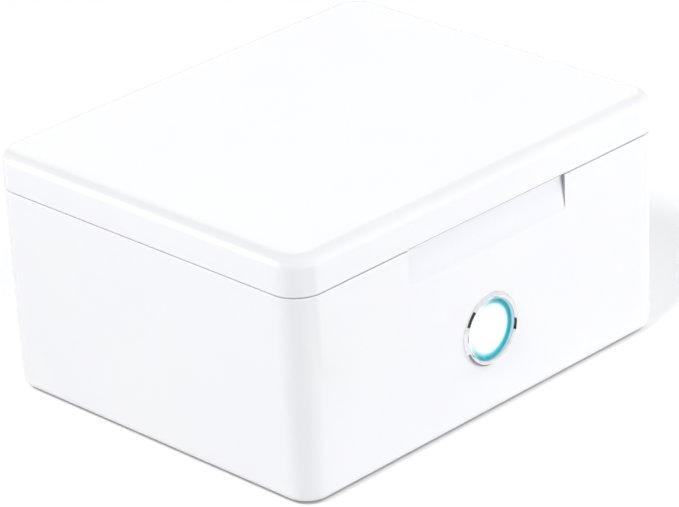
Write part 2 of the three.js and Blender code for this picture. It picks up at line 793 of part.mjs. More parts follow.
function fanImpeller() {
  const low = strutThickness + 2 * fitGap;
  const top = fanHeight - fitGap;
  const profile = [
    [0, low],
    [fanShaftRadius, low],
    [fanShaftRadius, top - fanHubWall],
    [fanHubRadius - fanHubWall, top - fanHubWall],
    [fanHubRadius - fanHubWall, low],
    [fanHubRadius, low],
    [fanHubRadius, top - fanHubWall / 2],
    [fanHubRadius - fanHubWall / 2, top],
    [0, top],
  ];
  const blades = [];
  for (let k = 0; k < fanBladeCount; k += 1) blades.push(fanBlade(k / fanBladeCount * 2 * Math.PI));
  return join(turnedUpright(profile, roundSteps), ...blades);
}

function heaterCore() {
  const top = chamberFloorHeight - fitGap;
  const outline = roundedRectangle(fanHalfWidth, fanHalfWidth, fanCorner, fanCentre);
  const inner = fanHalfWidth - heaterWall;
  const hollow = block(-inner, inner, fanCentre - inner, fanCentre + inner, fanTop - overrun, top + overrun);
  const fins = [];
  for (let k = 0; k < heaterFinCount; k += 1) {
    const x = -inner + (k + 1) / (heaterFinCount + 1) * 2 * inner;
    fins.push(block(x - heaterFinThickness / 2, x + heaterFinThickness / 2,
      fanCentre - inner - heaterWall / 2, fanCentre + inner + heaterWall / 2, fanTop, top));
  }
  return join(cut(prism(outline, fanTop, top), hollow), ...fins);
}

function board(side) {
  const middle = side * boardOffset;
  const plate = block(middle - boardHalfWidth, middle + boardHalfWidth, -boardFront, boardRear,
    boardHeight, boardHeight + boardThickness);
  const holes = boardCorners(side).map(([x, y]) => uprightRod(x, y, boardPegRadius + pegGap,
    boardHeight - overrun, boardHeight + boardThickness + overrun));
  return cut(plate, ...holes);
}

// The power inlet: a block on the board with a barrel through the rear wall, a bore and a pin in it
function powerJack() {
  const low = boardHeight + boardThickness;
  const middle = low + jackHeight / 2;
  const outerFace = bodyDepth / 2 - draft * (baseHeight - middle);
  const face = outerFace - jackRecess;
  const blockEnd = outerFace - lowerWall - fitGap;
  const bore = face - jackBoreDepth;
  const body = block(boardOffset - jackWidth / 2, boardOffset + jackWidth / 2, blockEnd - jackDepth, blockEnd,
    low, low + jackHeight);
  const barrel = rodAlongY(boardOffset, middle, jackBarrelRadius, blockEnd - jackDepth / 2, face, barrelSteps);
  const hollow = rodAlongY(boardOffset, middle, jackBoreRadius, bore, face + overrun, barrelSteps);
  const pin = rodAlongY(boardOffset, middle, jackPinRadius, bore - overrun, face - overrun);
  return join(cut(join(body, barrel), hollow), pin);
}

// The lamp stands behind the window slot, held at both ends below the deck
const windowTop = ledgeHeight - windowDrop;
const lampHeight = windowTop - windowHeight / 2;
const lampY = chamberRear + lampSetBack;

function lampWindow() {
  const low = chamberRear + pegGap;
  return block(-windowHalfWidth - windowLap, windowHalfWidth + windowLap, low, low + windowThickness,
    windowTop - windowHeight - windowLap, windowTop + windowLap);
}

function lampTube() {
  const end = lampRadius / 2;
  const profile = [
    [0, -lampHalfLength],
    [lampRadius - end, -lampHalfLength],
    [lampRadius, -lampHalfLength + end],
    [lampRadius, lampHalfLength - end],
    [lampRadius - end, lampHalfLength],
    [0, lampHalfLength],
  ];
  return turnedAlongY(profile, smallSteps).rotateZ(Math.PI / 2).translate(0, lampY, lampHeight);
}

function lampHolder(sign) {
  const inner = sign * (lampHalfLength - holderLength / 2);
  const outer = sign * (lampHalfLength + holderLength / 2);
  const low = Math.min(inner, outer);
  const high = Math.max(inner, outer);
  const body = block(low, high, lampY - holderHalfDepth, lampY + holderHalfDepth,
    lampHeight - holderHalfDepth, ledgeHeight);
  const socketEnd = sign * (lampHalfLength + fitGap);
  const reach = sign > 0 ? [low - overrun, socketEnd] : [socketEnd, high + overrun];
  return cut(body, rodAlongX(lampY, lampHeight, lampRadius + pegGap, ...reach));
}

// A trough round the lamp's back, with a flange against the deck
function lampReflector() {
  const shape = new THREE.Shape();
  const outer = reflectorRadius + reflectorWall;
  const flange = ledgeHeight - lampHeight;
  shape.absarc(0, 0, outer, -Math.PI / 2, Math.PI / 2, false);
  shape.lineTo(0, flange);
  shape.lineTo(-reflectorWall, flange);
  shape.lineTo(-reflectorWall, reflectorRadius);
  shape.lineTo(0, reflectorRadius);
  shape.absarc(0, 0, reflectorRadius, Math.PI / 2, -Math.PI / 2, true);
  shape.closePath();
  return prismAlongX(shape, -reflectorHalfLength, reflectorHalfLength).translate(0, lampY, lampHeight);
}

// Lid: a shallow shell with a soft top edge, posts for its pan and the middle knuckles
function lidShell() {
  const levels = [lidLevel(0, 0)];
  for (let step = 0; step <= edgeSteps + 1; step += 1) {
    const angle = step / (edgeSteps + 1) * Math.PI / 2;
    const height = lidHeight - lidEdgeDrop * (1 - Math.sin(angle));
    levels.push(lidLevel(height, lidEdgeInset * (1 - Math.cos(angle))));
  }
  const ceiling = lidHeight - lidTopWall;
  const inside = loft([
    lidLevel(-overrun, rimWall),
    lidLevel(ceiling - lidInnerRounding, rimWall),
    lidLevel(ceiling, rimWall + lidInnerRounding),
  ]);
  const posts = fourCorners.map(([, signX, signY]) => uprightRod(
    signX * (bodyWidth / 2 - lidPostInset),
    signY * (bodyDepth / 2 - lidPostInset),
    lidPostRadius,
    panFlangeRise + panFlangeThickness,
    ceiling + lidTopWall / 2,
  ));
  const shell = join(cut(loft(levels), inside), ...posts).translate(0, 0, lidBottom);
  const notches = [-hingeSpread, hingeSpread].flatMap((middle) => baseStretches(middle).map(knuckleNotch));
  const knuckles = [-hingeSpread, hingeSpread].map((middle) => knuckle(1, lidStretch(middle)));
  return cut(join(cut(shell, ...notches), ...knuckles), ...pinBores);
}

const panBottom = lidBottom + panFlangeRise;
const panTop = lidBottom + panHeight;

function panLevel(height, outset) {
  const corner = chamberCorner + outset;
  const points = roundedRectangle(chamberHalfWidth + outset, chamberHalfDepth + outset, corner, fanCentre);
  return { height, points };
}

// The lid's bright pan: a flange round the rim and a raised middle over the chamber
function lidPan() {
  const flange = loft([
    lidLevel(panBottom, rimWall + fitGap),
    lidLevel(panBottom + panFlangeThickness, rimWall + fitGap),
  ]);
  const dome = loft([
    panLevel(panBottom, panWall - linerWall),
    panLevel(panTop - panWall, panWall - linerWall),
    panLevel(panTop, -linerWall),
  ]);
  const hollow = loft([
    panLevel(panBottom - overrun, -linerWall),
    panLevel(panTop - 2 * panWall, -linerWall),
    panLevel(panTop - panWall, -linerWall - panWall),
  ]);
  const pockets = [-1, 1].map((sign) => uprightRod(sign * magnetSpread, magnetY, magnetRadius + pegGap,
    panBottom - overrun, panBottom + keeperThickness, roundSteps));
  const sensorPocket = uprightRod(0, magnetY, sensorMagnetRadius + pegGap,
    panBottom - overrun, panBottom + keeperThickness);
  return cut(join(flange, dome), hollow, ...pockets, sensorPocket);
}

function lidGasket() {
  const low = deckTop + fitGap;
  const outside = loft([
    panLevel(low, gasketOffset + gasketWidth * 3 / 4),
    panLevel((low + panBottom) / 2, gasketOffset + gasketWidth),
    panLevel(panBottom, gasketOffset + gasketWidth),
  ]);
  const inside = loft([
    panLevel(low - overrun, gasketOffset + gasketWidth / 4),
    panLevel(low, gasketOffset + gasketWidth / 4),
    panLevel((low + panBottom) / 2, gasketOffset),
    panLevel(panBottom + overrun, gasketOffset),
  ]);
  return cut(outside, inside);
}

function hingePin(middle) {
  const half = groupHalf - hingePinRadius / 2;
  return rodAlongX(hingeLine, hingeHeight, hingePinRadius, middle - half, middle + half);
}

// Button pieces are drawn round Y, with depth 0 on the wall's outer face and positive inwards
function buttonBezel() {
  const outer = bezelRadius;
  const crown = (outer + bezelBore) / 2;
  const shoulder = bezelStand * bezelShoulderShare;
  const sleeve = bezelBore + bezelSleeveWall;
  const end = lowerWall + bezelSleeveReach;
  const profile = [
    [bezelBore, bezelFront + shoulder / 2],
    [bezelBore, end],
    [sleeve, end],
    [sleeve, bezelBack],
    [outer, bezelBack],
    [outer, bezelFront + shoulder],
    [(outer * 3 + crown) / 4, bezelFront + shoulder / 3],
    [crown, bezelFront],
    [(bezelBore * 3 + crown) / 4, bezelFront + shoulder / 6],
    [bezelBore, bezelFront + shoulder / 2],
  ];
  return turnedAlongY(profile);
}

function lightRing() {
  const face = bezelFront + ringFaceDrop;
  const profile = [
    [ringInnerRadius, face],
    [ringInnerRadius, ringStepDepth],
    [ringInnerRadius + ringStep, ringStepDepth],
    [ringInnerRadius + ringStep, ringLength],
    [ringOuterRadius, ringLength],
    [ringOuterRadius, ringFlangeDepth + ringFlangeThickness],
    [ringFlangeRadius, ringFlangeDepth + ringFlangeThickness],
    [ringFlangeRadius, ringFlangeDepth],
    [ringOuterRadius, ringFlangeDepth],
    [ringOuterRadius, face],
    [ringInnerRadius, face],
  ];
  return turnedAlongY(profile);
}

function buttonCap() {
  const face = bezelFront + capFaceDrop;
  const collar = capRadius + capCollar;
  const collarStart = ringStepDepth + fitGap;
  const back = face + capThickness;
  const profile = [
    [0, face],
    [capRadius / 2, face + capCrown / 4],
    [capRadius - capCrown, face + capCrown],
    [capRadius, face + 2 * capCrown],
    [capRadius, collarStart],
    [collar, collarStart],
    [collar, capSkirtEnd],
    [capRadius - capSkirtWall, capSkirtEnd],
    [capRadius - capSkirtWall, back],
    [capStemRadius, back],
    [capStemRadius, plungerFront],
    [0, plungerFront],
  ];
  return turnedAlongY(profile);
}

function switchPlunger() {
  return rodAlongY(0, 0, plungerRadius, plungerFront, plungerEnd, roundSteps);
}

function buttonHousing() {
  const front = lowerWall + housingFrontGap;
  const lip = ringFlangeDepth + ringFlangeThickness + fitGap;
  const outer = housingBore + housingWall;
  const profile = [
    [housingBore, front],
    [housingBore, lip],
    [housingBore - housingLip, lip],
    [housingBore - housingLip, lip + housingLipThickness],
    [housingBore, lip + housingLipThickness],
    [housingBore, boardFaceDepth],
    [outer, boardFaceDepth],
    [outer, front],
    [housingBore, front],
  ];
  const sleeve = turnedAlongY(profile, roundSteps);
  const ears = [-1, 1].map((sign) => {
    const round = rodAlongY(sign * earSpread, 0, earRadius, front, front + earThickness, roundSteps);
    const inner = sign * (housingBore + housingWall / 2);
    const outerEnd = sign * earSpread;
    const bridge = block(Math.min(inner, outerEnd), Math.max(inner, outerEnd), front, front + earThickness,
      -earRadius, earRadius);
    const hole = rodAlongY(sign * earSpread, 0, shellPegRadius + pegGap, front - overrun,
      front + earThickness + overrun);
    return cut(join(round, bridge), hole);
  });
  const pegs = [-1, 1].map((sign) => rodAlongY(0, sign * (housingBore + housingWall / 2), housingPegRadius,
    boardFaceDepth - housingPegRadius, boardFaceDepth + buttonBoardThickness + pegGap));
  return join(sleeve, ...ears, ...pegs);
}

function buttonBoard() {
  const plate = block(-buttonBoardHalf, buttonBoardHalf, boardFaceDepth, boardFaceDepth + buttonBoardThickness,
    -buttonBoardHalf, buttonBoardHalf);
  const holes = [-1, 1].map((sign) => rodAlongY(0, sign * (housingBore + housingWall / 2),
    housingPegRadius + pegGap, boardFaceDepth - overrun, boardFaceDepth + buttonBoardThickness + overrun));
  return cut(plate, ...holes);
}

function tactSwitch() {
  const front = boardFaceDepth - switchDepth;
  const body = block(-switchHalf, switchHalf, front, boardFaceDepth, -switchHalf, switchHalf);
  return cut(body, rodAlongY(0, 0, plungerRadius + fitGap, front - overrun, boardFaceDepth - switchFloor,
    roundSteps));
}

function ringLed(turn) {
  const x = ledRingRadius * Math.cos(turn);
  const z = ledRingRadius * Math.sin(turn);
  return block(x - ledHalf, x + ledHalf, boardFaceDepth - ledDepth, boardFaceDepth, z - ledHalf, z + ledHalf);
}

// The assembly: everything stands on the feet, so the case is lifted by what they stand proud
const dryer = new THREE.Group();
const body = new THREE.Group();
body.position.set(0, bodyShift, footStand);
dryer.add(body);

const base = new THREE.Group();
body.add(base);
addPiece(base, 'base_shell', baseShell(), whiteGloss);
addPiece(base, 'bottom_cover', bottomCover(), whiteSatin);
for (const corner of fourCorners) {
  addPiece(base, `foot_${corner[0]}`, foot(corner), greyRubber);
  addPiece(base, `cover_screw_${corner[0]}`, coverScrew(corner), steel);
}
addPiece(base, 'chamber_deck', chamberDeck(), silverCoat);
addPiece(base, 'chamber_liner', chamberLiner(), silverCoat);
addPiece(base, 'diffuser_plate', diffuserPlate(), whiteSatin);
addPiece(base, 'heater_core', heaterCore(), aluminium);
addPiece(base, 'control_board', board(1), greenBoard);
addPiece(base, 'lamp_driver_board', board(-1), greenBoard);
addPiece(base, 'power_jack', powerJack(), blackPlastic);
const capacitorY = -boardFront + 2 * boardPegInset + 2 * capacitorRadius;
const chipFront = capacitorY + capacitorRadius + chipGap;
addPiece(base, 'control_chip', block(
  boardOffset - chipWidth / 2,
  boardOffset + chipWidth / 2,
  chipFront,
  chipFront + chipLength,
  boardTop,
  boardTop + chipHeight,
), blackPlastic);
addPiece(base, 'smoothing_capacitor', uprightRod(
  boardOffset,
  capacitorY,
  capacitorRadius,
  boardTop,
  boardTop + capacitorHeight,
  roundSteps,
), blackPlastic);
addPiece(base, 'transformer_core', cut(
  block(
    -boardOffset - transformerWidth / 2,
    -boardOffset + transformerWidth / 2,
    -transformerLength / 2,
    transformerLength / 2,
    boardTop,
    boardTop + transformerHeight,
  ),
  block(
    -boardOffset - transformerWidth,
    -boardOffset + transformerWidth,
    -coilRadius - fitGap,
    coilRadius + fitGap,
    boardTop + transformerHeight / 2 - coilRadius / 2 - fitGap,
    boardTop + transformerHeight + overrun,
  ),
), blackPlastic);
addPiece(base, 'transformer_coil', rodAlongX(
  0,
  boardTop + transformerHeight / 2 + coilRadius / 2,
  coilRadius,
  -boardOffset - transformerWidth / 2,
  -boardOffset + transformerWidth / 2,
  roundSteps,
), copper);
addPiece(base, 'lamp_window', lampWindow(), clearGlass);
addPiece(base, 'germicidal_lamp', lampTube(), clearGlass);
addPiece(base, 'lamp_holder_left', lampHolder(-1), ceramic);
addPiece(base, 'lamp_holder_right', lampHolder(1), ceramic);
addPiece(base, 'lamp_reflector', lampReflector(), aluminium);
for (const [side, sign] of [['left', -1], ['right', 1]]) {
  addPiece(base, `catch_magnet_${side}`, uprightRod(sign * magnetSpread, magnetY, magnetRadius,
    deckTop - magnetThickness, deckTop, roundSteps), nickel);
  addPiece(base, `hinge_pin_${side}`, hingePin(sign * hingeSpread), steel);
}
addPiece(base, 'lid_sensor', rodAlongX(magnetY, ledgeHeight - sensorRadius - pegGap, sensorRadius,
  -sensorHalfLength, sensorHalfLength), clearGlass);

const fan = new THREE.Group();
fan.position.set(0, fanCentre, fanBottom);
base.add(fan);
addPiece(fan, 'fan_frame', fanFrame(), blackPlastic);
addPiece(fan, 'fan_impeller', fanImpeller(), blackPlastic);

const button = new THREE.Group();
button.position.set(0, -wallAtButton, buttonHeight);
base.add(button);
addPiece(button, 'button_bezel', buttonBezel(), chrome);
addPiece(button, 'light_ring', lightRing(), tealLight);
addPiece(button, 'button_cap', buttonCap(), milkyWhite);
addPiece(button, 'switch_plunger', switchPlunger(), blackPlastic);
addPiece(button, 'button_housing', buttonHousing(), whiteSatin);
addPiece(button, 'button_board', buttonBoard(), greenBoard);
addPiece(button, 'tact_switch', tactSwitch(), blackPlastic);
for (let k = 0; k < ledCount; k += 1) {
  addPiece(button, `ring_led_${k + 1}`, ringLed((k + 1 / 2) / ledCount * 2 * Math.PI), milkyWhite);
}

const lid = new THREE.Group();
body.add(lid);
addPiece(lid, 'lid_shell', lidShell(), whiteGloss);
addPiece(lid, 'lid_pan', lidPan(), silverCoat);
addPiece(lid, 'lid_gasket', lidGasket(), greyRubber);
for (const [side, sign] of [['left', -1], ['right', 1]]) {
  addPiece(lid, `lid_keeper_${side}`, uprightRod(sign * magnetSpread, magnetY, magnetRadius,
    panBottom, panBottom + keeperThickness, roundSteps), nickel);
}
addPiece(lid, 'sensor_magnet', uprightRod(0, magnetY, sensorMagnetRadius,
  panBottom, panBottom + keeperThickness), nickel);

export default dryer;
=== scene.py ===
# Hearing aid dryer: the looks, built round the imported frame
import json
import math

import bmesh
import bpy
from mathutils import Matrix, Vector


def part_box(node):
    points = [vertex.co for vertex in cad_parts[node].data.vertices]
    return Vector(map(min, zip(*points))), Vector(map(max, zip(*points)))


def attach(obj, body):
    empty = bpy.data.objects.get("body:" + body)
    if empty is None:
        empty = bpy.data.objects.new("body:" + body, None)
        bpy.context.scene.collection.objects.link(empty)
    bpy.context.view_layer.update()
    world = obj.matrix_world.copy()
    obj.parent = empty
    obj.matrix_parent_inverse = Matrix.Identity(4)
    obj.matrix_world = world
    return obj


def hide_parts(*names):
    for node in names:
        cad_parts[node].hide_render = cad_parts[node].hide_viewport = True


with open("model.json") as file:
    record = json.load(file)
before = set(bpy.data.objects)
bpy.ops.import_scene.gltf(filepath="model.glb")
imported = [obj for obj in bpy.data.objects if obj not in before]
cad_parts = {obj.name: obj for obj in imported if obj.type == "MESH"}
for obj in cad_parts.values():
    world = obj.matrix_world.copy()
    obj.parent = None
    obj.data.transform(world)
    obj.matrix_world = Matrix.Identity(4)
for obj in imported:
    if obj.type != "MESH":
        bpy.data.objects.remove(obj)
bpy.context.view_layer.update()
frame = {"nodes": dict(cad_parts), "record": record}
print("frame loaded with", len(frame["nodes"]), "nodes")

mm = 0.001
past = 1  # how far a cutter runs past what it cuts

# The case, in millimetres. Heights count from the shell's bottom edge, depths from the case's middle
caseSizes = {
    "depth": 98.0,
    "cornerRadius": 7.2,
    "leastCorner": 0.6,
    "draftDegrees": 0.75,
    "bottomRounding": 2.0,
    "rimWall": 2.2,
    "lowerWall": 3.0,
    "edgeRadius": 0.25,
    "halfSeam": 0.15,
    "coverPlate": 2.0,
    "cornerSteps": 18,
}
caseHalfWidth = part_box("base_shell")[1].x / mm
caseHalfDepth = caseSizes["depth"] / 2
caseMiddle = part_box("base_shell")[0].y / mm + caseHalfDepth
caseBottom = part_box("base_shell")[0].z / mm
caseToFrame = Matrix.Scale(mm, 4) @ Matrix.Translation((0, caseMiddle, caseBottom))
draft = math.tan(math.radians(caseSizes["draftDegrees"]))


def caseHeight(node, corner):
    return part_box(node)[corner].z / mm - caseBottom


def caseDepth(node, corner):
    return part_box(node)[corner].y / mm - caseMiddle


def caseBox(node):
    low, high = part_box(node)
    lift = Vector((0, caseMiddle, caseBottom))
    return low / mm - lift, high / mm - lift


deckTop = caseHeight("chamber_deck", 1)
chamberFloor = caseHeight("chamber_liner", 0)
coverTop = caseSizes["coverPlate"]
hingeAxis = (
    (caseDepth("hinge_pin_left", 0) + caseDepth("hinge_pin_left", 1)) / 2,
    (caseHeight("hinge_pin_left", 0) + caseHeight("hinge_pin_left", 1)) / 2,
)
baseRim = hingeAxis[1] - caseSizes["halfSeam"]  # the seam's gap is shared between the base and the lid
lidRim = hingeAxis[1] + caseSizes["halfSeam"]
lidTop = caseHeight("lid_shell", 1)


# Meshes are drawn in case millimetres and brought into the frame at the end
def roundedRectangle(halfX, halfY, radius, middle=0.0):
    steps = caseSizes["cornerSteps"]
    points = []
    for quarter, (signX, signY) in enumerate(((1, 1), (-1, 1), (-1, -1), (1, -1))):
        for step in range(steps + 1):
            angle = (quarter + step / steps) * math.pi / 2
            x = signX * (halfX - radius) + radius * math.cos(angle)
            y = signY * (halfY - radius) + radius * math.sin(angle)
            points.append((x, y + middle))
    return points


# A level is a height and an outline; above the rim the case has no draft
def caseLevel(height, inset, radius=None):
    drawnIn = inset + draft * max(baseRim - height, 0)
    corner = radius or max(caseSizes["cornerRadius"] - drawnIn, caseSizes["leastCorner"])
    return height, roundedRectangle(caseHalfWidth - drawnIn, caseHalfDepth - drawnIn, corner)


# Levels along a rounded edge; an angle of 0 looks outwards and one of 90 degrees upwards
def edgeArc(levelAt, height, inset, radius, fromDegrees, toDegrees, steps=4):
    levels = []
    for step in range(steps + 1):
        angle = math.radians(fromDegrees + (toDegrees - fromDegrees) * step / steps)
        levels.append(levelAt(height + radius * math.sin(angle), inset - radius * math.cos(angle)))
    return levels


def asMesh(work):
    mesh = bpy.data.meshes.new("work")
    work.to_mesh(mesh)
    work.free()
    return mesh


# Rings of points joined by faces; the ends are capped, joined to each other or welded where they meet
def skin(rings, ends="capped"):
    work = bmesh.new()
    rings = [[work.verts.new(point) for point in ring] for ring in rings]
    pairs = list(zip(rings, rings[1:]))
    if ends == "joined":
        pairs.append((rings[-1], rings[0]))
    for near, far in pairs:
        for k in range(len(near)):
            n = (k + 1) % len(near)
            work.faces.new((near[k], near[n], far[n], far[k]))
    if ends == "capped":
        work.faces.new(reversed(rings[0]))
        work.faces.new(rings[-1])
    if ends == "welded":
        bmesh.ops.remove_doubles(work, verts=work.verts, dist=1e-5)
        bmesh.ops.dissolve_degenerate(work, edges=work.edges, dist=1e-6)
    bmesh.ops.recalc_face_normals(work, faces=work.faces)
    return asMesh(work)


def loft(levels, ends="capped"):
    return skin([[(x, y, height) for x, y in points] for height, points in levels], ends)


def prismAlongX(outline, low, high):
    return skin([[(x, y, z) for y, z in outline] for x in (low, high)])


def shifted(mesh, place):
    mesh.transform(Matrix.Translation(place))
    return mesh


# A profile of radii and depths turned round an axis
def turned(profile, axis, place=(0, 0, 0), steps=48):
    rings = []
    for radius, depth in profile:
        ring = []
        for k in range(steps):
            angle = 2 * math.pi * k / steps
            point = [radius * math.cos(angle), radius * math.sin(angle)]
            point.insert("XYZ".index(axis), depth)
            ring.append(point)
        rings.append(ring)
    return shifted(skin(rings, "welded"), place)


def rod(axis, middle, radius, low, high, steps=48):
    return turned([(0, low), (radius, low), (radius, high), (0, high)], axis, middle, steps=steps)


def block(low, high):
    work = bmesh.new()
    bmesh.ops.create_cube(work, size=1)
    size = Vector(high) - Vector(low)
    middle = (Vector(high) + Vector(low)) / 2
    for vert in work.verts:
        vert.co = Vector((vert.co.x * size.x, vert.co.y * size.y, vert.co.z * size.z)) + middle
    return asMesh(work)


# The same spot towards each of the four corners
def cornersAt(x, y):
    return [(signX * x, signY * y) for signX in (-1, 1) for signY in (-1, 1)]


def addObject(name, data):
    thing = bpy.data.objects.new(name, data)
    bpy.context.scene.collection.objects.link(thing)
    return thing


# The mesh that an object's modifiers make; the object and its helpers go
def baked(thing, *helpers):
    depsgraph = bpy.context.evaluated_depsgraph_get()
    mesh = bpy.data.meshes.new_from_object(thing.evaluated_get(depsgraph))
    for used in (*helpers, thing):
        bpy.data.objects.remove(used)
    return mesh


def combine(mesh, others, operation):
    thing = addObject("combining", mesh)
    helpers = []
    for other in others:
        helpers.append(addObject("helper", other))
        boolean = thing.modifiers.new("combine", "BOOLEAN")
        boolean.operation = operation
        boolean.solver = "EXACT"
        boolean.object = helpers[-1]
    return baked(thing, *helpers)


def cut(mesh, *tools):
    return combine(mesh, tools, "DIFFERENCE")


def join(mesh, *others):
    return combine(mesh, others, "UNION")


def merged(*meshes):
    work = bmesh.new()
    for mesh in meshes:
        work.from_mesh(mesh)
    return asMesh(work)


# Faces divided along a plane across X, so that a part of them can carry another material, such as the painted
# shade on the lid's lower edge
def split(mesh, place):
    work = bmesh.new()
    work.from_mesh(mesh)
    bmesh.ops.bisect_plane(work, geom=work.verts[:] + work.edges[:] + work.faces[:], plane_co=place,
                           plane_no=(1, 0, 0), dist=1e-4)
    return asMesh(work)


def softenEdges(mesh, width, sharpDegrees=35):
    thing = addObject("softening", mesh)
    bevel = thing.modifiers.new("bevel", "BEVEL")
    bevel.width = width
    bevel.segments = 2
    bevel.limit_method = "ANGLE"
    bevel.angle_limit = math.radians(sharpDegrees)
    return baked(thing)


def finishPiece(name, mesh, slotName, body, replaced=(), inMillimetres=True, sharpDegrees=32):
    if inMillimetres:
        mesh.transform(caseToFrame)
    work = bmesh.new()
    work.from_mesh(mesh)
    bmesh.ops.remove_doubles(work, verts=work.verts, dist=1e-7)
    work.to_mesh(mesh)
    work.free()
    mesh.materials.clear()
    mesh.materials.append(finishes[slotName])
    mesh.shade_smooth()
    mesh.set_sharp_from_angle(angle=math.radians(sharpDegrees))
    mesh.name = name
    piece = addObject(name, mesh)
    weighted = piece.modifiers.new("evenNormals", "WEIGHTED_NORMAL")
    weighted.keep_sharp = True
    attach(piece, body)
    if replaced:
        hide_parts(*replaced)
    return piece


# A copy of a node with its loose triangles merged into flat faces and its edges softened
def softCopy(node, slotName, width):
    work = bmesh.new()
    work.from_mesh(frame["nodes"][node].data)
    bmesh.ops.remove_doubles(work, verts=work.verts, dist=2e-6)
    bmesh.ops.dissolve_degenerate(work, edges=work.edges, dist=1e-7)
    bmesh.ops.dissolve_limit(work, angle_limit=math.radians(0.5), verts=work.verts, edges=work.edges)
    mesh = softenEdges(asMesh(work), width * mm)
    finishPiece(node + "Finished", mesh, slotName, "root", (node,), inMillimetres=False)


# Materials
def linear(hexText):
    values = []
    for k in (0, 2, 4):
        share = int(hexText[k:k + 2], 16) / 255
        values.append(share / 12.92 if share <= 0.04045 else ((share + 0.055) / 1.055) ** 2.4)
    return (*values, 1.0)


# Each input of a node is set, linked when the value is a socket, or else an attribute of the node
def addNode(tree, kind, values=None):
    node = tree.nodes.new(kind)
    for key, value in (values or {}).items():
        if isinstance(value, bpy.types.NodeSocket):
            tree.links.new(value, node.inputs[key])
        elif isinstance(key, str) and hasattr(node, key):
            setattr(node, key, value)
        else:
            node.inputs[key].default_value = value
    return node


def newMaterial(name):
    material = bpy.data.materials.new(name)
    material.use_nodes = True
    tree = material.node_tree
    tree.nodes.clear()
    shader = addNode(tree, "ShaderNodeBsdfPrincipled")
    addNode(tree, "ShaderNodeOutputMaterial", {"Surface": shader.outputs[0]})
    return material, tree, shader


# Noise of a size in millimetres; with a length, it is drawn out along X
def objectNoise(tree, size, detail=2.0, roughness=0.5, length=None):
    place = addNode(tree, "ShaderNodeTexCoord").outputs["Object"]
    if length:
        drawnOut = (size / length, 1, 1)
        place = addNode(tree, "ShaderNodeMapping", {"Vector": place, "Scale": drawnOut}).outputs[0]
    return addNode(tree, "ShaderNodeTexNoise", {
        "Vector": place,
        "Scale": 1 / (size * mm),
        "Detail": detail,
        "Roughness": roughness,
    }).outputs[0]


def spread(tree, socket, low, high, fromLow=0.3, fromHigh=0.7):
    return addNode(tree, "ShaderNodeMapRange", {
        "Value": socket,
        "From Min": fromLow,
        "From Max": fromHigh,
        "To Min": low,
        "To Max": high,
    }).outputs["Result"]


def bumpFrom(tree, socket, depth):
    return addNode(tree, "ShaderNodeBump", {"Height": socket, "Strength": 1.0, "Distance": depth * mm})


def tinted(tree, socket, firstHex, secondHex):
    share = spread(tree, socket, 0, 1, 0.35, 0.65)
    return addNode(tree, "ShaderNodeMix", {
        "data_type": "RGBA",
        "Factor": share,
        6: linear(firstHex),
        7: linear(secondHex),
    }).outputs[2]


# A finish whose colour, roughness and relief follow named noises; sizes and depths in millimetres
def noisyFinish(name, noises, colour, roughness, relief, fixed):
    material, tree, shader = newMaterial(name)
    made = {key: objectNoise(tree, *values) for key, values in noises.items()}
    tree.links.new(tinted(tree, made[colour[0]], *colour[1:]), shader.inputs["Base Color"])
    tree.links.new(spread(tree, made[roughness[0]], *roughness[1:]), shader.inputs["Roughness"])
    normal = shader.inputs["Normal"]
    for key, depth in reversed(relief.items()):
        bump = bumpFrom(tree, made[key], depth)
        tree.links.new(bump.outputs[0], normal)
        normal = bump.inputs["Normal"]
    for key, value in fixed.items():
        shader.inputs[key].default_value = value
    return material


# Drawn or pressed bare metal: fine lines along X, a little dull
def plainMetal(name, lightHex, darkHex, roughness):
    sizes = {"line": 0.12, "lineLength": 9.0, "lineDepth": 0.003, "uneven": 0.06}
    return noisyFinish(name, {"lines": (sizes["line"], 2.0, 0.5, sizes["lineLength"])},
                       ("lines", darkHex, lightHex),
                       ("lines", roughness - sizes["uneven"], roughness + sizes["uneven"]),
                       {"lines": sizes["lineDepth"]}, {"Metallic": 1.0})


# Silicone or moulded plastic in one colour, with a fine grain
def mouldedPlain(name, lightHex, darkHex, roughness, grain=0.5, depth=0.01, ior=1.45):
    sizes = {"detail": 3.0, "grainRoughness": 0.6, "uneven": 0.05}
    return noisyFinish(name, {"grain": (grain, sizes["detail"], sizes["grainRoughness"])},
                       ("grain", darkHex, lightHex),
                       ("grain", roughness - sizes["uneven"], roughness + sizes["uneven"]),
                       {"grain": depth}, {"IOR": ior})


# The button is drawn round this point, on the wall's outer face
buttonSizes = {"height": 21.2, "ringInner": 6.16, "ringOuter": 7.46, "hole": 8.2, "steps": 160}
buttonFace = -(caseHalfDepth - draft * (baseRim - buttonSizes["height"]))
buttonMiddle = Vector((0, buttonFace, buttonSizes["height"]))

# The teal light spreads over the guide and the cap's rim; towards the upper left a painted reflection of the
# white surround covers it
glowSizes = {
    "inner": 5.2,
    "outer": 8.0,
    "middle": (-0.18, 0, -0.08),
    "stretch": 0.98,
    "stops": ((5.3, "FBFDFD"), (5.75, "D2F8FE"), (6.05, "97D7DD"), (6.5, "3FA9B6"), (6.93, "1494A5"),
              (7.08, "45A9BC"), (7.25, "9AD2DF"), (7.45, "BFE2E9")),
    "paintedReflection": "F8FBFB",
    "paintedReflectionDirection": (-0.89, 0, 0.454),
    "paintedReflectionStart": 0.4,
    "paintedReflectionEnd": 6.2,
    "strength": 0.12,
    "haze": 1.6,
    "uneven": 0.03,
    "ior": 1.58,
    "specular": 0.3,
}


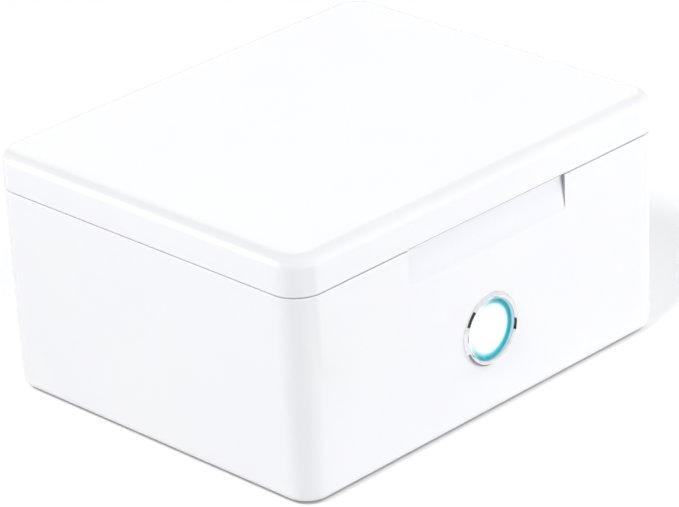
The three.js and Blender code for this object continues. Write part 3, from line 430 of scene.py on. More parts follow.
# Where a point lies in the button's plane, in millimetres, and how far from its middle
def fromButton(tree):
    coordinates = addNode(tree, "ShaderNodeTexCoord")
    moved = addNode(tree, "ShaderNodeVectorMath", {
        "operation": "SUBTRACT",
        0: coordinates.outputs["Object"],
        1: caseToFrame @ (buttonMiddle + Vector(glowSizes["middle"])),
    })
    flat = addNode(tree, "ShaderNodeVectorMath", {
        "operation": "MULTIPLY",
        0: moved.outputs[0],
        1: (1 / mm, 0, glowSizes["stretch"] / mm),
    })
    radius = addNode(tree, "ShaderNodeVectorMath", {"operation": "LENGTH", 0: flat.outputs[0]})
    return flat.outputs[0], radius.outputs["Value"]


def litColour(tree):
    sizes = glowSizes
    flat, radius = fromButton(tree)
    across = spread(tree, radius, 0, 1, sizes["inner"], sizes["outer"])
    colours = addNode(tree, "ShaderNodeValToRGB", {"Fac": across})
    span = sizes["outer"] - sizes["inner"]
    shares = [(place - sizes["inner"]) / span for place, colour in sizes["stops"]]
    tints = [linear(colour) for place, colour in sizes["stops"]]
    stops = colours.color_ramp.elements
    stops[0].color = tints[0]
    stops[1].position = shares[-1]
    stops[1].color = tints[-1]
    for share, tint in zip(shares[1:-1], tints[1:-1]):
        stops.new(share).color = tint
    along = addNode(tree, "ShaderNodeVectorMath", {
        "operation": "DOT_PRODUCT",
        0: flat,
        1: sizes["paintedReflectionDirection"],
    })
    # Painted reflection: the colour turns near white towards the upper left, where the bright surround would
    # be mirrored
    paintedReflection = addNode(tree, "ShaderNodeMapRange", {
        "interpolation_type": "SMOOTHSTEP",
        "Value": along.outputs["Value"],
        "From Min": sizes["paintedReflectionStart"],
        "From Max": sizes["paintedReflectionEnd"],
    })
    return addNode(tree, "ShaderNodeMix", {
        "data_type": "RGBA",
        "Factor": paintedReflection.outputs[0],
        6: colours.outputs[0],
        7: linear(sizes["paintedReflection"]),
    }).outputs[2]


# Milky polycarbonate with the light behind it: a soft gloss, and a colour that comes out of its depth; the
# colour, and so the glow, holds the painted reflection towards the upper left
def litPolycarbonate(name, roughness):
    material, tree, shader = newMaterial(name)
    colour = litColour(tree)
    haze = objectNoise(tree, glowSizes["haze"])
    rough = spread(tree, haze, roughness - glowSizes["uneven"], roughness + glowSizes["uneven"])
    for key, socket in (("Base Color", colour), ("Emission Color", colour), ("Roughness", rough)):
        tree.links.new(socket, shader.inputs[key])
    shader.inputs["Emission Strength"].default_value = glowSizes["strength"]
    shader.inputs["IOR"].default_value = glowSizes["ior"]
    shader.inputs["Specular IOR Level"].default_value = glowSizes["specular"]
    return material


# Clear fused quartz, with a trace of green in its depth
def quartzGlass():
    sizes = {"haze": 3.0, "smooth": 0.02, "rough": 0.06, "ior": 1.46}
    material, tree, shader = newMaterial("quartzGlass")
    rough = spread(tree, objectNoise(tree, sizes["haze"]), sizes["smooth"], sizes["rough"])
    tree.links.new(rough, shader.inputs["Roughness"])
    shader.inputs["Base Color"].default_value = linear("EEF6F4")
    shader.inputs["Transmission Weight"].default_value = 1.0
    shader.inputs["IOR"].default_value = sizes["ior"]
    return material


# Glass epoxy board under green solder mask: the weave shows as a fine cross pattern
def epoxyBoard():
    sizes = {"weave": 0.8, "weaveDepth": 0.008, "roughness": 0.35}
    material, tree, shader = newMaterial("greenSolderMask")
    weave = addNode(tree, "ShaderNodeTexChecker", {
        "Vector": addNode(tree, "ShaderNodeTexCoord").outputs["Object"],
        "Scale": 1 / (sizes["weave"] * mm),
        "Color1": linear("1E6A39"),
        "Color2": linear("226F3E"),
    })
    bump = bumpFrom(tree, weave.outputs["Fac"], sizes["weaveDepth"])
    tree.links.new(weave.outputs["Color"], shader.inputs["Base Color"])
    tree.links.new(bump.outputs[0], shader.inputs["Normal"])
    shader.inputs["Roughness"].default_value = sizes["roughness"]
    return material


finishes = {
    # Polished moulded ABS: bright white with a clear gloss and the faint waviness that moulding leaves
    "white_gloss": noisyFinish("polishedWhiteAbs", {"waves": (24.0, 1.0), "peel": (1.4, 2.0)},
                               ("waves", "F8F8FA", "F9F9FA"), ("peel", 0.14, 0.2),
                               {"waves": 0.006, "peel": 0.0004}, {"IOR": 1.53}),
    # Spark-eroded moulded ABS: the same white, but dull, with a fine even grain
    "white_satin": noisyFinish("texturedWhiteAbs", {"grain": (0.45, 3.0, 0.6), "patch": (14.0, 1.0)},
                               ("patch", "E6E7E9", "EAEBEC"), ("grain", 0.42, 0.55),
                               {"grain": 0.02}, {"IOR": 1.53}),
    # Vacuum metallised plastic: a bright thin aluminium film that follows the moulding's waves
    "silver_coat": noisyFinish("metallisedPlastic", {"waves": (6.0, 1.5), "haze": (0.8, 3.0)},
                               ("waves", "C6C9CD", "D0D2D5"), ("haze", 0.2, 0.3),
                               {"waves": 0.02}, {"Metallic": 1.0}),
    # Chrome plate: near mirror, with the very slight haze of handling
    "chrome": noisyFinish("chromePlate", {"haze": (1.2, 3.0), "ripple": (2.5, 1.0)},
                          ("haze", "E2E3E5", "EBECED"), ("haze", 0.04, 0.09),
                          {"ripple": 0.002}, {"Metallic": 1.0}),
    "steel": plainMetal("zincPlatedSteel", "B4B7BA", "96999D", 0.34),
    "aluminium": plainMetal("pressedAluminium", "C8CACC", "B4B6B9", 0.4),
    "nickel": plainMetal("nickelPlate", "C4C1BA", "AEABA4", 0.2),
    "teal_light": litPolycarbonate("litLightGuide", 0.28),
    "milky_white": litPolycarbonate("milkyPolycarbonate", 0.24),
    "black_plastic": mouldedPlain("mouldedBlackNylon", "232427", "17181A", 0.48),
    "green_board": epoxyBoard(),
    "grey_rubber": mouldedPlain("mattSilicone", "93969A", "85888C", 0.78, 0.35, 0.02, 1.41),
    "clear_glass": quartzGlass(),
    "ceramic": mouldedPlain("steatite", "ECE8DF", "E2DED4", 0.6, 0.3, 0.01, 1.6),
    "copper": plainMetal("enamelledCopper", "BC7443", "A25F33", 0.35),
}
eroded = {"grain": 0.4, "depth": 0.004, "ior": 1.53}
# The finger recess is left as spark-eroded as its tool, duller than the polished walls; its darker, bluer
# colour is painted shade
recessGrainAndShade = mouldedPlain("sparkErodedRecess", "F5F7FA", "F3F5F9", 0.4, **eroded)
# The recess's cheeks are painted mid grey: painted shade, the dark wedge that shadow makes there
recessCheekPaintedShade = mouldedPlain("sparkErodedCheek", "A9ABAF", "A4A6AA", 0.5, **eroded)
# The lid's lower edge carries painted shade: a thin, dull grey line above the recess, where the edge turns
# down and away from the light
lidEdgePaintedShade = mouldedPlain("partingLine", "9C9EA2", "96989C", 0.6, **eroded)
print("materials made:", len(finishes) + 3)

slotOf = {part["node"]: part["material_slot"] for part in frame["record"]["subparts"]}
for node, thing in frame["nodes"].items():
    thing.data.materials.clear()
    thing.data.materials.append(finishes[slotOf[node]])

# Hinge: barrels and webs, drawn round the pin
hingeSizes = {
    "spread": 34.0,
    "out": 1.3,
    "barrel": 2.2,
    "clearance": 0.35,
    "lidLength": 12.0,
    "baseLength": 8.0,
    "gap": 0.4,
    "bore": 1.31,
    "webHeight": 5.0,
    "webBite": 0.7,
    "webDegrees": 40.0,
}
hingeHalf = hingeSizes["lidLength"] / 2 + hingeSizes["gap"] + hingeSizes["baseLength"]
hingeMiddles = (-hingeSizes["spread"], hingeSizes["spread"])


def baseStretches(middle):
    near = hingeSizes["lidLength"] / 2 + hingeSizes["gap"]
    return ((middle - hingeHalf, middle - near), (middle + near, middle + hingeHalf))


def lidStretch(middle):
    return (middle - hingeSizes["lidLength"] / 2, middle + hingeSizes["lidLength"] / 2)


def knuckleParts(side, stretch):
    angle = math.radians(hingeSizes["webDegrees"])
    wall = -(hingeSizes["out"] + hingeSizes["webBite"])
    radius = hingeSizes["barrel"]
    web = [
        (wall, side * caseSizes["halfSeam"]),
        (0, 0),
        (radius * math.cos(angle), side * radius * math.sin(angle)),
        (wall, side * hingeSizes["webHeight"]),
    ]
    outline = [(y + hingeAxis[0], z + hingeAxis[1]) for y, z in web]
    return [prismAlongX(outline, *stretch), rod("X", (0, *hingeAxis), radius, *stretch)]


def notch(stretch):
    radius = hingeSizes["barrel"] + hingeSizes["clearance"]
    return rod("X", (0, *hingeAxis), radius, stretch[0] - hingeSizes["gap"], stretch[1] + hingeSizes["gap"])


def pinBores():
    reach = hingeHalf + past
    return [rod("X", (0, *hingeAxis), hingeSizes["bore"], middle - reach, middle + reach)
            for middle in hingeMiddles]


# Base shell: one closed loop of levels, outside up and inside down, then the recess and the wall openings
recessSizes = {"width": 51.5, "height": 8.7, "depth": 1.1, "facing": 0.9}
floorSizes = {
    "coverInset": 5.0,
    "coverCorner": 4.0,
    "shelfInset": 9.0,
    "shelfCorner": 16.0,
    "shelfThickness": 1.6,
    "screwInset": 10.5,
    "bossRadius": 3.4,
    "bossHeight": 8.0,
}
jackHoleSizes = {"middle": 33.5, "radius": 4.0}
screwX = caseHalfWidth - floorSizes["screwInset"]
screwY = caseHalfDepth - floorSizes["screwInset"]


def buildBaseShell():
    edge = caseSizes["edgeRadius"]
    bottom = caseSizes["bottomRounding"]
    wall, lower = caseSizes["rimWall"], caseSizes["lowerWall"]
    floorTop = coverTop + floorSizes["shelfThickness"]
    ledge = caseHeight("chamber_liner", 1)
    levels = edgeArc(caseLevel, bottom, bottom, bottom, -90, 0, steps=10)
    levels += edgeArc(caseLevel, baseRim - edge, edge, edge, 0, 90)
    levels += [caseLevel(baseRim, wall - edge), caseLevel(baseRim - edge, wall)]
    levels += [caseLevel(ledge, wall), caseLevel(ledge, lower), caseLevel(floorTop, lower)]
    levels += [
        caseLevel(floorTop, floorSizes["shelfInset"], floorSizes["shelfCorner"]),
        caseLevel(coverTop, floorSizes["shelfInset"], floorSizes["shelfCorner"]),
        caseLevel(coverTop, floorSizes["coverInset"], floorSizes["coverCorner"]),
        caseLevel(0, floorSizes["coverInset"], floorSizes["coverCorner"]),
    ]
    face = -caseHalfDepth
    foot = baseRim - recessSizes["height"]
    half = recessSizes["width"] / 2
    recess = prismAlongX([
        (face - past, foot),
        (face + draft * recessSizes["height"], foot),
        (face + recessSizes["depth"], baseRim),
        (face + recessSizes["depth"], baseRim + past),
        (face - past, baseRim + past),
    ], -half, half)
    buttonHole = rod("Y", (0, 0, buttonSizes["height"]), buttonSizes["hole"], face - past,
                     buttonFace + lower + past, steps=96)
    jackHeight = (caseHeight("power_jack", 0) + caseHeight("power_jack", 1)) / 2
    jackHole = rod("Y", (jackHoleSizes["middle"], 0, jackHeight), jackHoleSizes["radius"],
                   caseHalfDepth - lower - 2 * past, caseHalfDepth + past)
    notches = [notch(lidStretch(middle)) for middle in hingeMiddles]
    shell = cut(loft(levels, "joined"), recess, buttonHole, jackHole, *notches)
    parts = [part for middle in hingeMiddles for stretch in baseStretches(middle)
             for part in knuckleParts(-1, stretch)]
    parts += [rod("Z", (x, y, 0), floorSizes["bossRadius"], coverTop, floorTop + floorSizes["bossHeight"])
              for x, y in cornersAt(screwX, screwY)]
    shell = cut(join(shell, *parts), *pinBores())
    piece = finishPiece("baseShellFinished", shell, "white_gloss", "root", ("base_shell",))
    piece.data.materials.append(recessGrainAndShade)
    piece.data.materials.append(recessCheekPaintedShade)
    low = caseToFrame @ Vector((-half, face - 0.2, foot - 0.05))
    high = caseToFrame @ Vector((half, face + recessSizes["depth"] + 0.05, baseRim + 0.1))
    reach = 0.00002
    # The recess's faces take its dull grain with painted shade, and its cheeks the painted grey shade
    for polygon in piece.data.polygons:
        spot = polygon.center
        if all(low[k] - reach < spot[k] < high[k] + reach for k in range(3)):
            if abs(polygon.normal.x) > recessSizes["facing"] and abs(abs(spot.x) - high.x) < reach:
                polygon.material_index = 2
            elif polygon.normal.y < -recessSizes["facing"] and abs(spot.x) < high.x - reach:
                polygon.material_index = 1


# Lid shell: ceiling, inner side, rim, outer side and the soft top edge in one run of levels
lidSizes = {
    "edgeInset": 3.8,
    "edgeDrop": 2.6,
    "edgeSteps": 16,
    "topWall": 2.2,
    "innerRounding": 2.0,
    "postRadius": 2.6,
    "postInset": 8.6,
    "postRise": 2.2,
}


def buildLidShell():
    sizes = lidSizes
    edge = caseSizes["edgeRadius"]
    wall = caseSizes["rimWall"]
    ceiling = lidTop - sizes["topWall"]
    levels = [
        caseLevel(ceiling, wall + sizes["innerRounding"]),
        caseLevel(ceiling - sizes["innerRounding"], wall),
        caseLevel(lidRim + edge, wall),
        caseLevel(lidRim, wall - edge),
    ]
    levels += edgeArc(caseLevel, lidRim + edge, edge, edge, -90, 0)
    for step in range(sizes["edgeSteps"] + 1):
        angle = math.pi / 2 * step / sizes["edgeSteps"]
        height = lidTop - sizes["edgeDrop"] * (1 - math.sin(angle))
        levels.append(caseLevel(height, sizes["edgeInset"] * (1 - math.cos(angle))))
    notches = [notch(stretch) for middle in hingeMiddles for stretch in baseStretches(middle)]
    parts = [part for middle in hingeMiddles for part in knuckleParts(1, lidStretch(middle))]
    parts += [rod("Z", (x, y, 0), sizes["postRadius"], lidRim + sizes["postRise"], ceiling + past)
              for x, y in cornersAt(caseHalfWidth - sizes["postInset"], caseHalfDepth - sizes["postInset"])]
    shell = cut(join(cut(loft(levels), *notches), *parts), *pinBores())
    for side in (-1, 1):
        shell = split(shell, (side * recessSizes["width"] / 2, 0, 0))
    piece = finishPiece("lidShellFinished", shell, "white_gloss", "lid", ("lid_shell",))
    piece.data.materials.append(lidEdgePaintedShade)
    half = recessSizes["width"] / 2 * mm
    low = caseToFrame @ Vector((0, 0, lidRim))
    high = caseToFrame @ Vector((0, sizes["edgeInset"] - caseHalfDepth, lidRim + edge))
    # Faces of the lid's lower edge above the recess take the painted shade
    for polygon in piece.data.polygons:
        spot, slope = polygon.center, polygon.normal.z
        if abs(spot.x) < half and low.z < spot.z < high.z and spot.y < high.y and -0.95 < slope < -0.1:
            polygon.material_index = 1


buildBaseShell()
buildLidShell()
print("shells built")

# Bezel: depths of its end and flange count from the wall's face, the others from its own crest
bezelSizes = {
    "bore": 7.5,
    "sleeve": 8.15,
    "outer": 8.85,
    "outside": ((8.85, 0.8), (8.82, 0.75), (8.7, 0.5), (8.23, 0.05), (8.14, 0.01), (8.08, 0)),
    "inside": ((8.02, 0.01), (7.95, 0.05), (7.52, 0.362), (7.5, 0.6)),
    "flange": 0.1,
    "end": 3.9,
    "sharpDegrees": 9,
}
# Light guide: a face that rises outwards, and the body behind it
guideSizes = {
    "drop": 1.1,
    "rise": 0.635,
    "dish": 1.7,
    "edge": 0.06,
    "steps": 8,
    "start": 2.0,
    "body": ((7.46, 4.2), (8.3, 4.2), (8.3, 5.4), (7.5, 5.4), (7.5, 7.4), (6.75, 7.4), (6.75, 2.0),
             (6.16, 2.0)),
}
# Cap: a slightly hollow face with a soft edge, the collar that the guide holds, and the stem
capSizes = {
    "radius": 6.12,
    "drop": 0.95,
    "crown": 0.12,
    "edge": 0.1,
    "crownSteps": 8,
    "edgeSteps": 4,
    "collar": ((6.12, 2.3), (6.45, 2.3), (6.45, 4.6), (5.05, 4.6)),
    "skirt": 5.05,
    "stem": 1.5,
    "face": 1.4,
    "end": 4.9,
}


def buildButton():
    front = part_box("button_bezel")[0].y / mm - caseMiddle - buttonFace
    sizes = bezelSizes
    bore, sleeve, flange, end = sizes["bore"], sizes["sleeve"], sizes["flange"], sizes["end"]
    bezel = [(bore, end), (sleeve, end), (sleeve, flange), (sizes["outer"], flange)]
    bezel += [(radius, front + drop) for radius, drop in (*sizes["outside"], *sizes["inside"])]
    bezel.append((bore, end))

    sizes = guideSizes
    inner, outer, edge = buttonSizes["ringInner"], buttonSizes["ringOuter"], sizes["edge"]
    face = front + sizes["drop"]
    guide = [(inner, sizes["start"]), (inner, face + edge)]
    for step in range(sizes["steps"] + 1):
        share = step / sizes["steps"]
        radius = inner + edge + (outer - inner - edge) * share
        guide.append((radius, face - sizes["rise"] * share ** sizes["dish"]))
    guide += sizes["body"]

    sizes = capSizes
    face = front + sizes["drop"]
    edge = sizes["edge"]
    flat = sizes["radius"] - edge
    cap = [(0, face)]
    for step in range(1, sizes["crownSteps"] + 1):
        radius = flat * step / sizes["crownSteps"]
        cap.append((radius, face + sizes["crown"] * (radius / flat) ** 2))
    for step in range(1, sizes["edgeSteps"] + 1):
        angle = math.pi / 2 * step / sizes["edgeSteps"]
        cap.append((flat + edge * math.sin(angle), face + sizes["crown"] + edge * (1 - math.cos(angle))))
    back = face + sizes["face"]
    cap += [*sizes["collar"], (sizes["skirt"], back), (sizes["stem"], back), (sizes["stem"], sizes["end"])]
    cap.append((0, sizes["end"]))

    for name, profile, slotName, body, node, sharpDegrees in (
            ("bezelFinished", bezel, "chrome", "root", "button_bezel", bezelSizes["sharpDegrees"]),
            ("lightGuideFinished", guide, "teal_light", "root", "light_ring", 32),
            ("capFinished", cap, "milky_white", "button", "button_cap", 32),
    ):
        mesh = turned(profile, "Y", buttonMiddle, steps=buttonSizes["steps"])
        finishPiece(name, mesh, slotName, body, (node,), sharpDegrees=sharpDegrees)


buildButton()
print("button built")


# Geometry Nodes trees for what repeats; each takes its sizes from named inputs
def newTree(name, inputs):
    tree = bpy.data.node_groups.new(name, "GeometryNodeTree")
    for label, kind in inputs.items():
        tree.interface.new_socket(label, in_out="INPUT", socket_type="NodeSocket" + kind)
    tree.interface.new_socket("Material", in_out="INPUT", socket_type="NodeSocketMaterial")
    tree.interface.new_socket("Geometry", in_out="OUTPUT", socket_type="NodeSocketGeometry")
    return tree, tree.nodes.new("NodeGroupInput").outputs


def endTree(tree, geometry, material):
    realized = addNode(tree, "GeometryNodeRealizeInstances", {"Geometry": geometry})
    painted = addNode(tree, "GeometryNodeSetMaterial", {
        "Geometry": realized.outputs[0],
        "Material": material,
    })
    addNode(tree, "NodeGroupOutput", {"Geometry": painted.outputs[0]})
    return tree


def runTree(tree, values):
    thing = addObject(tree.name, bpy.data.meshes.new(tree.name))
    modifier = thing.modifiers.new(tree.name, "NODES")
    modifier.node_group = tree
    for item in tree.interface.items_tree:
        if item.item_type == "SOCKET" and item.in_out == "INPUT":
            modifier[item.identifier] = values[item.name]
    return baked(thing)


# A tree that repeats one mesh, which goes with the object that carries it
def repeated(tree, mesh, values):
    part = addObject("repeatedPart", mesh)
    made = runTree(tree, {"Part": part, **values})
    bpy.data.objects.remove(part)
    return made


# One part towards each of the four corners
def makeCornersTree():
    tree, given = newTree("fourCorners", {
        "Part": "Object",
        "Spread X": "Float",
        "Spread Y": "Float",
        "Middle Y": "Float",
    })
    grid = addNode(tree, "GeometryNodeMeshGrid", {
        "Size X": 2.0,
        "Size Y": 2.0,
        "Vertices X": 2,
        "Vertices Y": 2,
    })
    spreads = addNode(tree, "ShaderNodeCombineXYZ", {"X": given["Spread X"], "Y": given["Spread Y"]})
    middle = addNode(tree, "ShaderNodeCombineXYZ", {"Y": given["Middle Y"]})
    placed = addNode(tree, "GeometryNodeTransform", {
        "Geometry": grid.outputs["Mesh"],
        "Scale": spreads.outputs[0],
        "Translation": middle.outputs[0],
    })
    part = addNode(tree, "GeometryNodeObjectInfo", {"Object": given["Part"]})
    copies = addNode(tree, "GeometryNodeInstanceOnPoints", {
        "Points": placed.outputs[0],
        "Instance": part.outputs["Geometry"],
    })
    return endTree(tree, copies.outputs[0], given["Material"])


# Slots with round ends on a grid, as closed cutters; a round field shortens the outer ones
def makeSlotTree():
    tree, given = newTree("slotCutters", {
        "Columns": "Int",
        "Rows": "Int",
        "Pitch X": "Float",
        "Pitch Y": "Float",
        "Width": "Float",
        "Middle Width": "Float",
        "Length": "Float",
        "Field Radius": "Float",
        "Middle Y": "Float",
        "Low": "Float",
        "Rise": "Float",
    })
    place = addNode(tree, "GeometryNodeInputPosition").outputs[0]
    known = dict(given.items())
    known["Along"] = addNode(tree, "ShaderNodeSeparateXYZ", {0: place}).outputs["X"]
    known["Away"] = addNode(tree, "ShaderNodeVectorMath", {"operation": "LENGTH", 0: place}).outputs["Value"]
    for name, operation, first, second in (
            ("Gaps X", "SUBTRACT", "Columns", 1),
            ("Span X", "MULTIPLY", "Gaps X", "Pitch X"),
            ("Gaps Y", "SUBTRACT", "Rows", 1),
            ("Span Y", "MULTIPLY", "Gaps Y", "Pitch Y"),
            ("Field Squared", "POWER", "Field Radius", 2),
            ("Along Squared", "POWER", "Along", 2),
            ("Reach Squared", "SUBTRACT", "Field Squared", "Along Squared"),
            ("Least Reach", "MULTIPLY", "Width", 2),
            ("Least Squared", "POWER", "Least Reach", 2),
            ("Kept Squared", "MAXIMUM", "Reach Squared", "Least Squared"),
            ("Reach", "POWER", "Kept Squared", 0.5),
            ("Half Room", "SUBTRACT", "Reach", "Width"),
            ("Room", "MULTIPLY", "Half Room", 2),
            ("Slot Length", "MINIMUM", "Room", "Length"),
            ("Is Middle", "LESS_THAN", "Away", 0.01),
            ("Wider", "SUBTRACT", "Middle Width", "Width"),
            ("Extra", "MULTIPLY", "Is Middle", "Wider"),
            ("Slot Width", "ADD", "Width", "Extra"),
    ):
        terms = {"operation": operation, 0: known[first], 1: known.get(second, second)}
        known[name] = addNode(tree, "ShaderNodeMath", terms).outputs[0]
    grid = addNode(tree, "GeometryNodeMeshGrid", {
        "Size X": known["Span X"],
        "Size Y": known["Span Y"],
        "Vertices X": given["Columns"],
        "Vertices Y": given["Rows"],
    })
    outline = addNode(tree, "GeometryNodeCurvePrimitiveQuadrilateral", {"Width": 1.0, "Height": 1.0})
    scale = addNode(tree, "ShaderNodeCombineXYZ", {
        "X": known["Slot Width"],
        "Y": known["Slot Length"],
        "Z": 1.0,
    })
    copies = addNode(tree, "GeometryNodeInstanceOnPoints", {
        "Points": grid.outputs["Mesh"],
        "Instance": outline.outputs[0],
        "Scale": scale.outputs[0],
    })
    outlines = addNode(tree, "GeometryNodeRealizeInstances", {"Geometry": copies.outputs[0]})
    rounded = addNode(tree, "GeometryNodeFilletCurve", {
        "mode": "POLY",
        "Curve": outlines.outputs[0],
        "Count": 6,
        "Radius": 100.0,
        "Limit Radius": True,
    })
    filled = addNode(tree, "GeometryNodeFillCurve", {"mode": "NGONS", "Curve": rounded.outputs[0]})
    raised = addNode(tree, "GeometryNodeExtrudeMesh", {
        "mode": "FACES",
        "Mesh": filled.outputs[0],
        "Offset Scale": given["Rise"],
        "Individual": False,
    })
    bottom = addNode(tree, "GeometryNodeFlipFaces", {"Mesh": filled.outputs[0]})
    closed = addNode(tree, "GeometryNodeJoinGeometry")
    for socket in (raised.outputs["Mesh"], bottom.outputs[0]):
        tree.links.new(socket, closed.inputs[0])
    welded = addNode(tree, "GeometryNodeMergeByDistance", {"Geometry": closed.outputs[0], "Distance": 0.001})
    middle = addNode(tree, "ShaderNodeCombineXYZ", {"Y": given["Middle Y"], "Z": given["Low"]})
    placed = addNode(tree, "GeometryNodeTransform", {
        "Geometry": welded.outputs[0],
        "Translation": middle.outputs[0],
    })
    return endTree(tree, placed.outputs[0], given["Material"])


# Upright fins side by side
def makeFinTree():
    tree, given = newTree("heaterFins", {
        "Count": "Int",
        "Span": "Float",
        "Thickness": "Float",
        "Depth": "Float",
        "Height": "Float",
        "Middle Y": "Float",
        "Middle Z": "Float",
    })
    grid = addNode(tree, "GeometryNodeMeshGrid", {
        "Size X": given["Span"],
        "Size Y": 0.0,
        "Vertices X": given["Count"],
        "Vertices Y": 1,
    })
    middle = addNode(tree, "ShaderNodeCombineXYZ", {"Y": given["Middle Y"], "Z": given["Middle Z"]})
    placed = addNode(tree, "GeometryNodeTransform", {
        "Geometry": grid.outputs["Mesh"],
        "Translation": middle.outputs[0],
    })
    size = addNode(tree, "ShaderNodeCombineXYZ", {
        "X": given["Thickness"],
        "Y": given["Depth"],
        "Z": given["Height"],
    })
    fin = addNode(tree, "GeometryNodeMeshCube", {"Size": size.outputs[0]})
    copies = addNode(tree, "GeometryNodeInstanceOnPoints", {
        "Points": placed.outputs[0],
        "Instance": fin.outputs["Mesh"],
    })
    return endTree(tree, copies.outputs[0], given["Material"])


# One part repeated round an upright axis
def makeRoundTree():
    tree, given = newTree("roundAxis", {"Part": "Object", "Count": "Int"})
    ring = addNode(tree, "GeometryNodeMeshCircle", {"Radius": 0.0, "Vertices": given["Count"]})
    number = addNode(tree, "GeometryNodeInputIndex").outputs[0]
    share = addNode(tree, "ShaderNodeMath", {"operation": "DIVIDE", 0: number, 1: given["Count"]})
    angle = addNode(tree, "ShaderNodeMath", {"operation": "MULTIPLY", 0: share.outputs[0], 1: 2 * math.pi})
    turn = addNode(tree, "ShaderNodeCombineXYZ", {"Z": angle.outputs[0]})
    part = addNode(tree, "GeometryNodeObjectInfo", {"Object": given["Part"]})
    copies = addNode(tree, "GeometryNodeInstanceOnPoints", {
        "Points": ring.outputs[0],
        "Instance": part.outputs["Geometry"],
        "Rotation": turn.outputs[0],
    })
    return endTree(tree, copies.outputs[0], given["Material"])


# A wire or a thread wound round an upright axis
def makeWindingTree():
    tree, given = newTree("woundWire", {
        "Radius": "Float",
        "Turns": "Float",
        "Length": "Float",
        "Wire": "Float",
        "Sides": "Int",
    })
    path = addNode(tree, "GeometryNodeCurveSpiral", {
        "Resolution": 32,
        "Rotations": given["Turns"],
        "Start Radius": given["Radius"],
        "End Radius": given["Radius"],
        "Height": given["Length"],
    })
    section = addNode(tree, "GeometryNodeCurvePrimitiveCircle", {
        "Resolution": given["Sides"],
        "Radius": given["Wire"],
    })
    wire = addNode(tree, "GeometryNodeCurveToMesh", {
        "Curve": path.outputs[0],
        "Profile Curve": section.outputs[0],
        "Fill Caps": True,
    })
    return endTree(tree, wire.outputs[0], given["Material"])


# Two rows of leads that face away from each other
def makeLeadTree():
    tree, given = newTree("leadRows", {"Part": "Object", "Count": "Int", "Span": "Float"})
    line = addNode(tree, "GeometryNodeMeshGrid", {
        "Size X": 0.0,
        "Size Y": given["Span"],
        "Vertices X": 1,
        "Vertices Y": given["Count"],
    })
    part = addNode(tree, "GeometryNodeObjectInfo", {"Object": given["Part"]})
    copies = addNode(tree, "GeometryNodeInstanceOnPoints", {
        "Points": line.outputs["Mesh"],
        "Instance": part.outputs["Geometry"],
    })
    opposite = addNode(tree, "GeometryNodeTransform", {
        "Geometry": copies.outputs[0],
        "Rotation": (0, 0, math.pi),
    })
    both = addNode(tree, "GeometryNodeJoinGeometry")
    for socket in (copies.outputs[0], opposite.outputs[0]):
        tree.links.new(socket, both.inputs[0])
    return endTree(tree, both.outputs[0], given["Material"])


cornersTree = makeCornersTree()
slotTree = makeSlotTree()
finTree = makeFinTree()
roundTree = makeRoundTree()
windingTree = makeWindingTree()
leadTree = makeLeadTree()
fourPlaces = [end + "_" + side for end in ("front", "rear") for side in ("left", "right")]


def atCorners(mesh, spreadX, spreadY, middleY=0.0, slotName="white_satin"):
    return repeated(cornersTree, mesh, {
        "Spread X": spreadX,
        "Spread Y": spreadY,
        "Middle Y": middleY,
        "Material": finishes[slotName],
    })


# Underside: the cover with its intake slots, the rubber feet and the screws. Profiles give radius and height
coverSizes = {
    "inset": 5.3,
    "corner": 4.0,
    "edge": 0.35,
    "edgeSteps": 4,
    "ventCount": 7,
    "ventWidth": 2.2,
    "ventField": 18.8,
    "footSink": ((0, -1), (5.3, -1), (5.3, 0.8), (0, 0.8)),
    "screwSink": ((0, -1), (2.9, -1), (2.9, 1.2), (1.6, 1.2), (1.6, 3), (0, 3)),
    "fanPost": ((0, 1), (3.7, 1), (3.7, 4.3), (3.6, 4.4), (1.5, 4.4), (1.5, 13.8), (1.2, 14.1), (0, 14.1)),
    "boardPost": ((0, 1), (2.7, 1), (2.7, 4.3), (2.6, 4.4), (1.2, 4.4), (1.2, 6.1), (1.0, 6.3), (0, 6.3)),
}
footSizes = {
    "x": 39,
    "y": 28,
    "radius": 5.0,
    "stand": 0.8,
    "top": 0.8,
    "edge": 0.55,
    "edgeSteps": 6,
    "dimple": 2.4,
    "dimpleSlope": 0.8,
    "dimpleDepth": 0.25,
}
screwSizes = {
    "head": ((0, 0), (2.25, 0), (2.5, 0.1), (2.6, 0.35), (2.6, 1.2), (1.15, 1.2)),
    "headHeight": 1.2,
    "core": 1.15,
    "tip": 9.7,
    "tipRadius": 0.4,
    "tipLength": 1.2,
    "pitch": 1.1,
    "thread": 0.24,
    "threadStart": 0.6,
    "threadless": 2.2,
    "crossWidth": 0.6,
    "crossLength": 2.9,
    "crossDepth": 0.8,
}
fanSizes = {
    "middle": (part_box("fan_frame")[0].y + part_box("fan_frame")[1].y) / 2 / mm - caseMiddle,
    "bottom": 4.4,
    "half": 20.0,
    "corner": 3.0,
    "height": 10.0,
    "bore": 18.8,
    "hole": 16.0,
    "holeRadius": 1.7,
    "edge": 0.25,
    "strutWidth": 2.4,
    "strut": 1.4,
    "strutBite": 0.5,
    "step": 0.01,
    "base": 8.3,
    "tube": 2.4,
    "bearing": 1.2,
    "hub": 9.4,
    "hubWall": 1.1,
    "hubBottom": 2.0,
    "hubGap": 0.3,
    "hubEdgeSteps": 5,
    "axle": 1.0,
    "label": 4.2,
    "labelDepth": 0.2,
    "blades": 7,
    "bladeSteps": 12,
    "bladeReach": 17.9,
    "bladeThickness": 0.9,
    "bladeRise": 6.0,
    "rootPitch": 48.0,
    "tipPitch": 30.0,
    "trimStart": 0.85,
    "trim": 0.35,
    "section": ((-1, 0), (-0.85, 0.75), (-0.3, 1), (0.4, 0.9), (0.9, 0.5), (1, 0), (0.9, -0.5), (0.4, -0.9),
                (-0.3, -1), (-0.85, -0.75)),
}
boardSizes = {"offset": 33.5, "pegX": 8.5, "pegFront": -25.0, "pegRear": 26.0}


